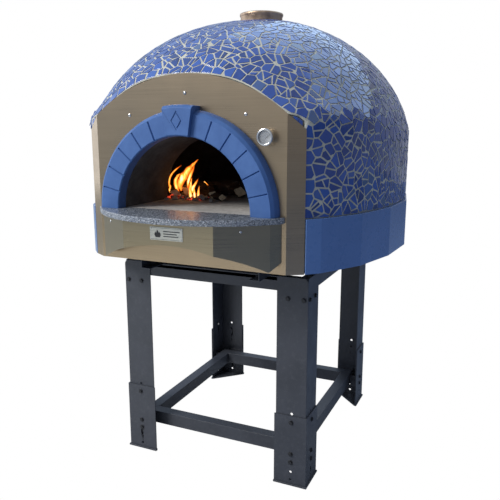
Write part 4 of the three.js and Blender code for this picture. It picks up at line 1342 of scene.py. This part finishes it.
def area_light(name, location, target, size, power, color=(1, 1, 1)):
    data = bpy.data.lights.new(name, "AREA")
    data.shape = "RECTANGLE"
    data.size, data.size_y = size
    data.energy = power
    data.color = color
    obj = link(bpy.data.objects.new(name, data))
    obj.location = location
    obj.rotation_euler = (Vector(target) - Vector(location)).to_track_quat("-Z", "Y").to_euler()


def studio():
    """A floor and a surround that are bright on the left and dark on the right, and white to the camera."""
    paper = Look("floor_paper", Roughness=0.9)
    across = paper.add("SeparateXYZ", {"Vector": paper.place}).outputs["X"]
    shade = paper.remap(across, -2.5, 2.8, 0.0, 1.0)
    paper.to_shader("Base Color", paper.ramp(shade, FLOOR_TONES))
    size = 14.0
    floor = mesh_object("floor", [(-size, -size, 0), (size, -size, 0), (size, size, 0), (-size, size, 0)],
                        [(0, 1, 2, 3)], paper.material)
    floor.visible_camera = False
    world = bpy.data.worlds.new("studio")
    bpy.context.scene.world = world
    world.use_nodes = True
    sky = NodeTree(world.node_tree)
    toward = sky.add("TexCoord").outputs["Generated"]
    split = sky.add("SeparateXYZ", {"Vector": toward}).outputs
    aside = sky.math("MULTIPLY_ADD", split["X"], -0.36, 0.5)
    height = sky.math("MULTIPLY_ADD", split["Z"], 0.26, aside)
    seen = sky.add("LightPath").outputs["Is Camera Ray"]
    color = sky.mix(seen, sky.ramp(height, SKY_TONES), (1, 1, 1))
    sky.tree.links.new(color, sky.tree.nodes["Background"].inputs["Color"])
    area_light("key", (-3.2, -4.2, 4.6), (0, 0, 1.3), (2.2, 2.2), KEY_POWER, (1.0, 0.97, 0.92))
    area_light("fill", (-4.5, 0.5, 2.0), (0, 0, 1.2), (2.5, 2.5), FILL_POWER, (0.95, 0.97, 1.0))
    area_light("sky", (1.2, 3.5, 5.6), (0, 0, 1.8), (7.0, 4.4), SKY_POWER, (0.50, 0.72, 1.0))


bpy.context.scene.view_settings.view_transform = "Standard"
camera()
studio()
SLOT_MATERIALS = {
    "stand_paint": PAINT, "blue_paint": SKIRT_PAINT, "arch_paint": ARCH_PAINT, "front_sheet": FRONT_STEEL,
    "mosaic_tile": GLAZE, "cement_render": CEMENT, "insulation": BLANKET, "refractory": SOOT,
    "granite": GRANITE_TOP, "flue_steel": FLUE, "bright_steel": STEEL, "black_plastic": PLASTIC,
    "dial_white": SHADED_DIAL_ENAMEL, "clear_glass": GLASS,
}
for node, obj in nodes.items():
    obj.data.materials.clear()
    obj.data.materials.append(SLOT_MATERIALS[slot_of(node)])
mosaic()
stand()
front()
name_plate()
gauge()
flue()
chamber()
firewood()
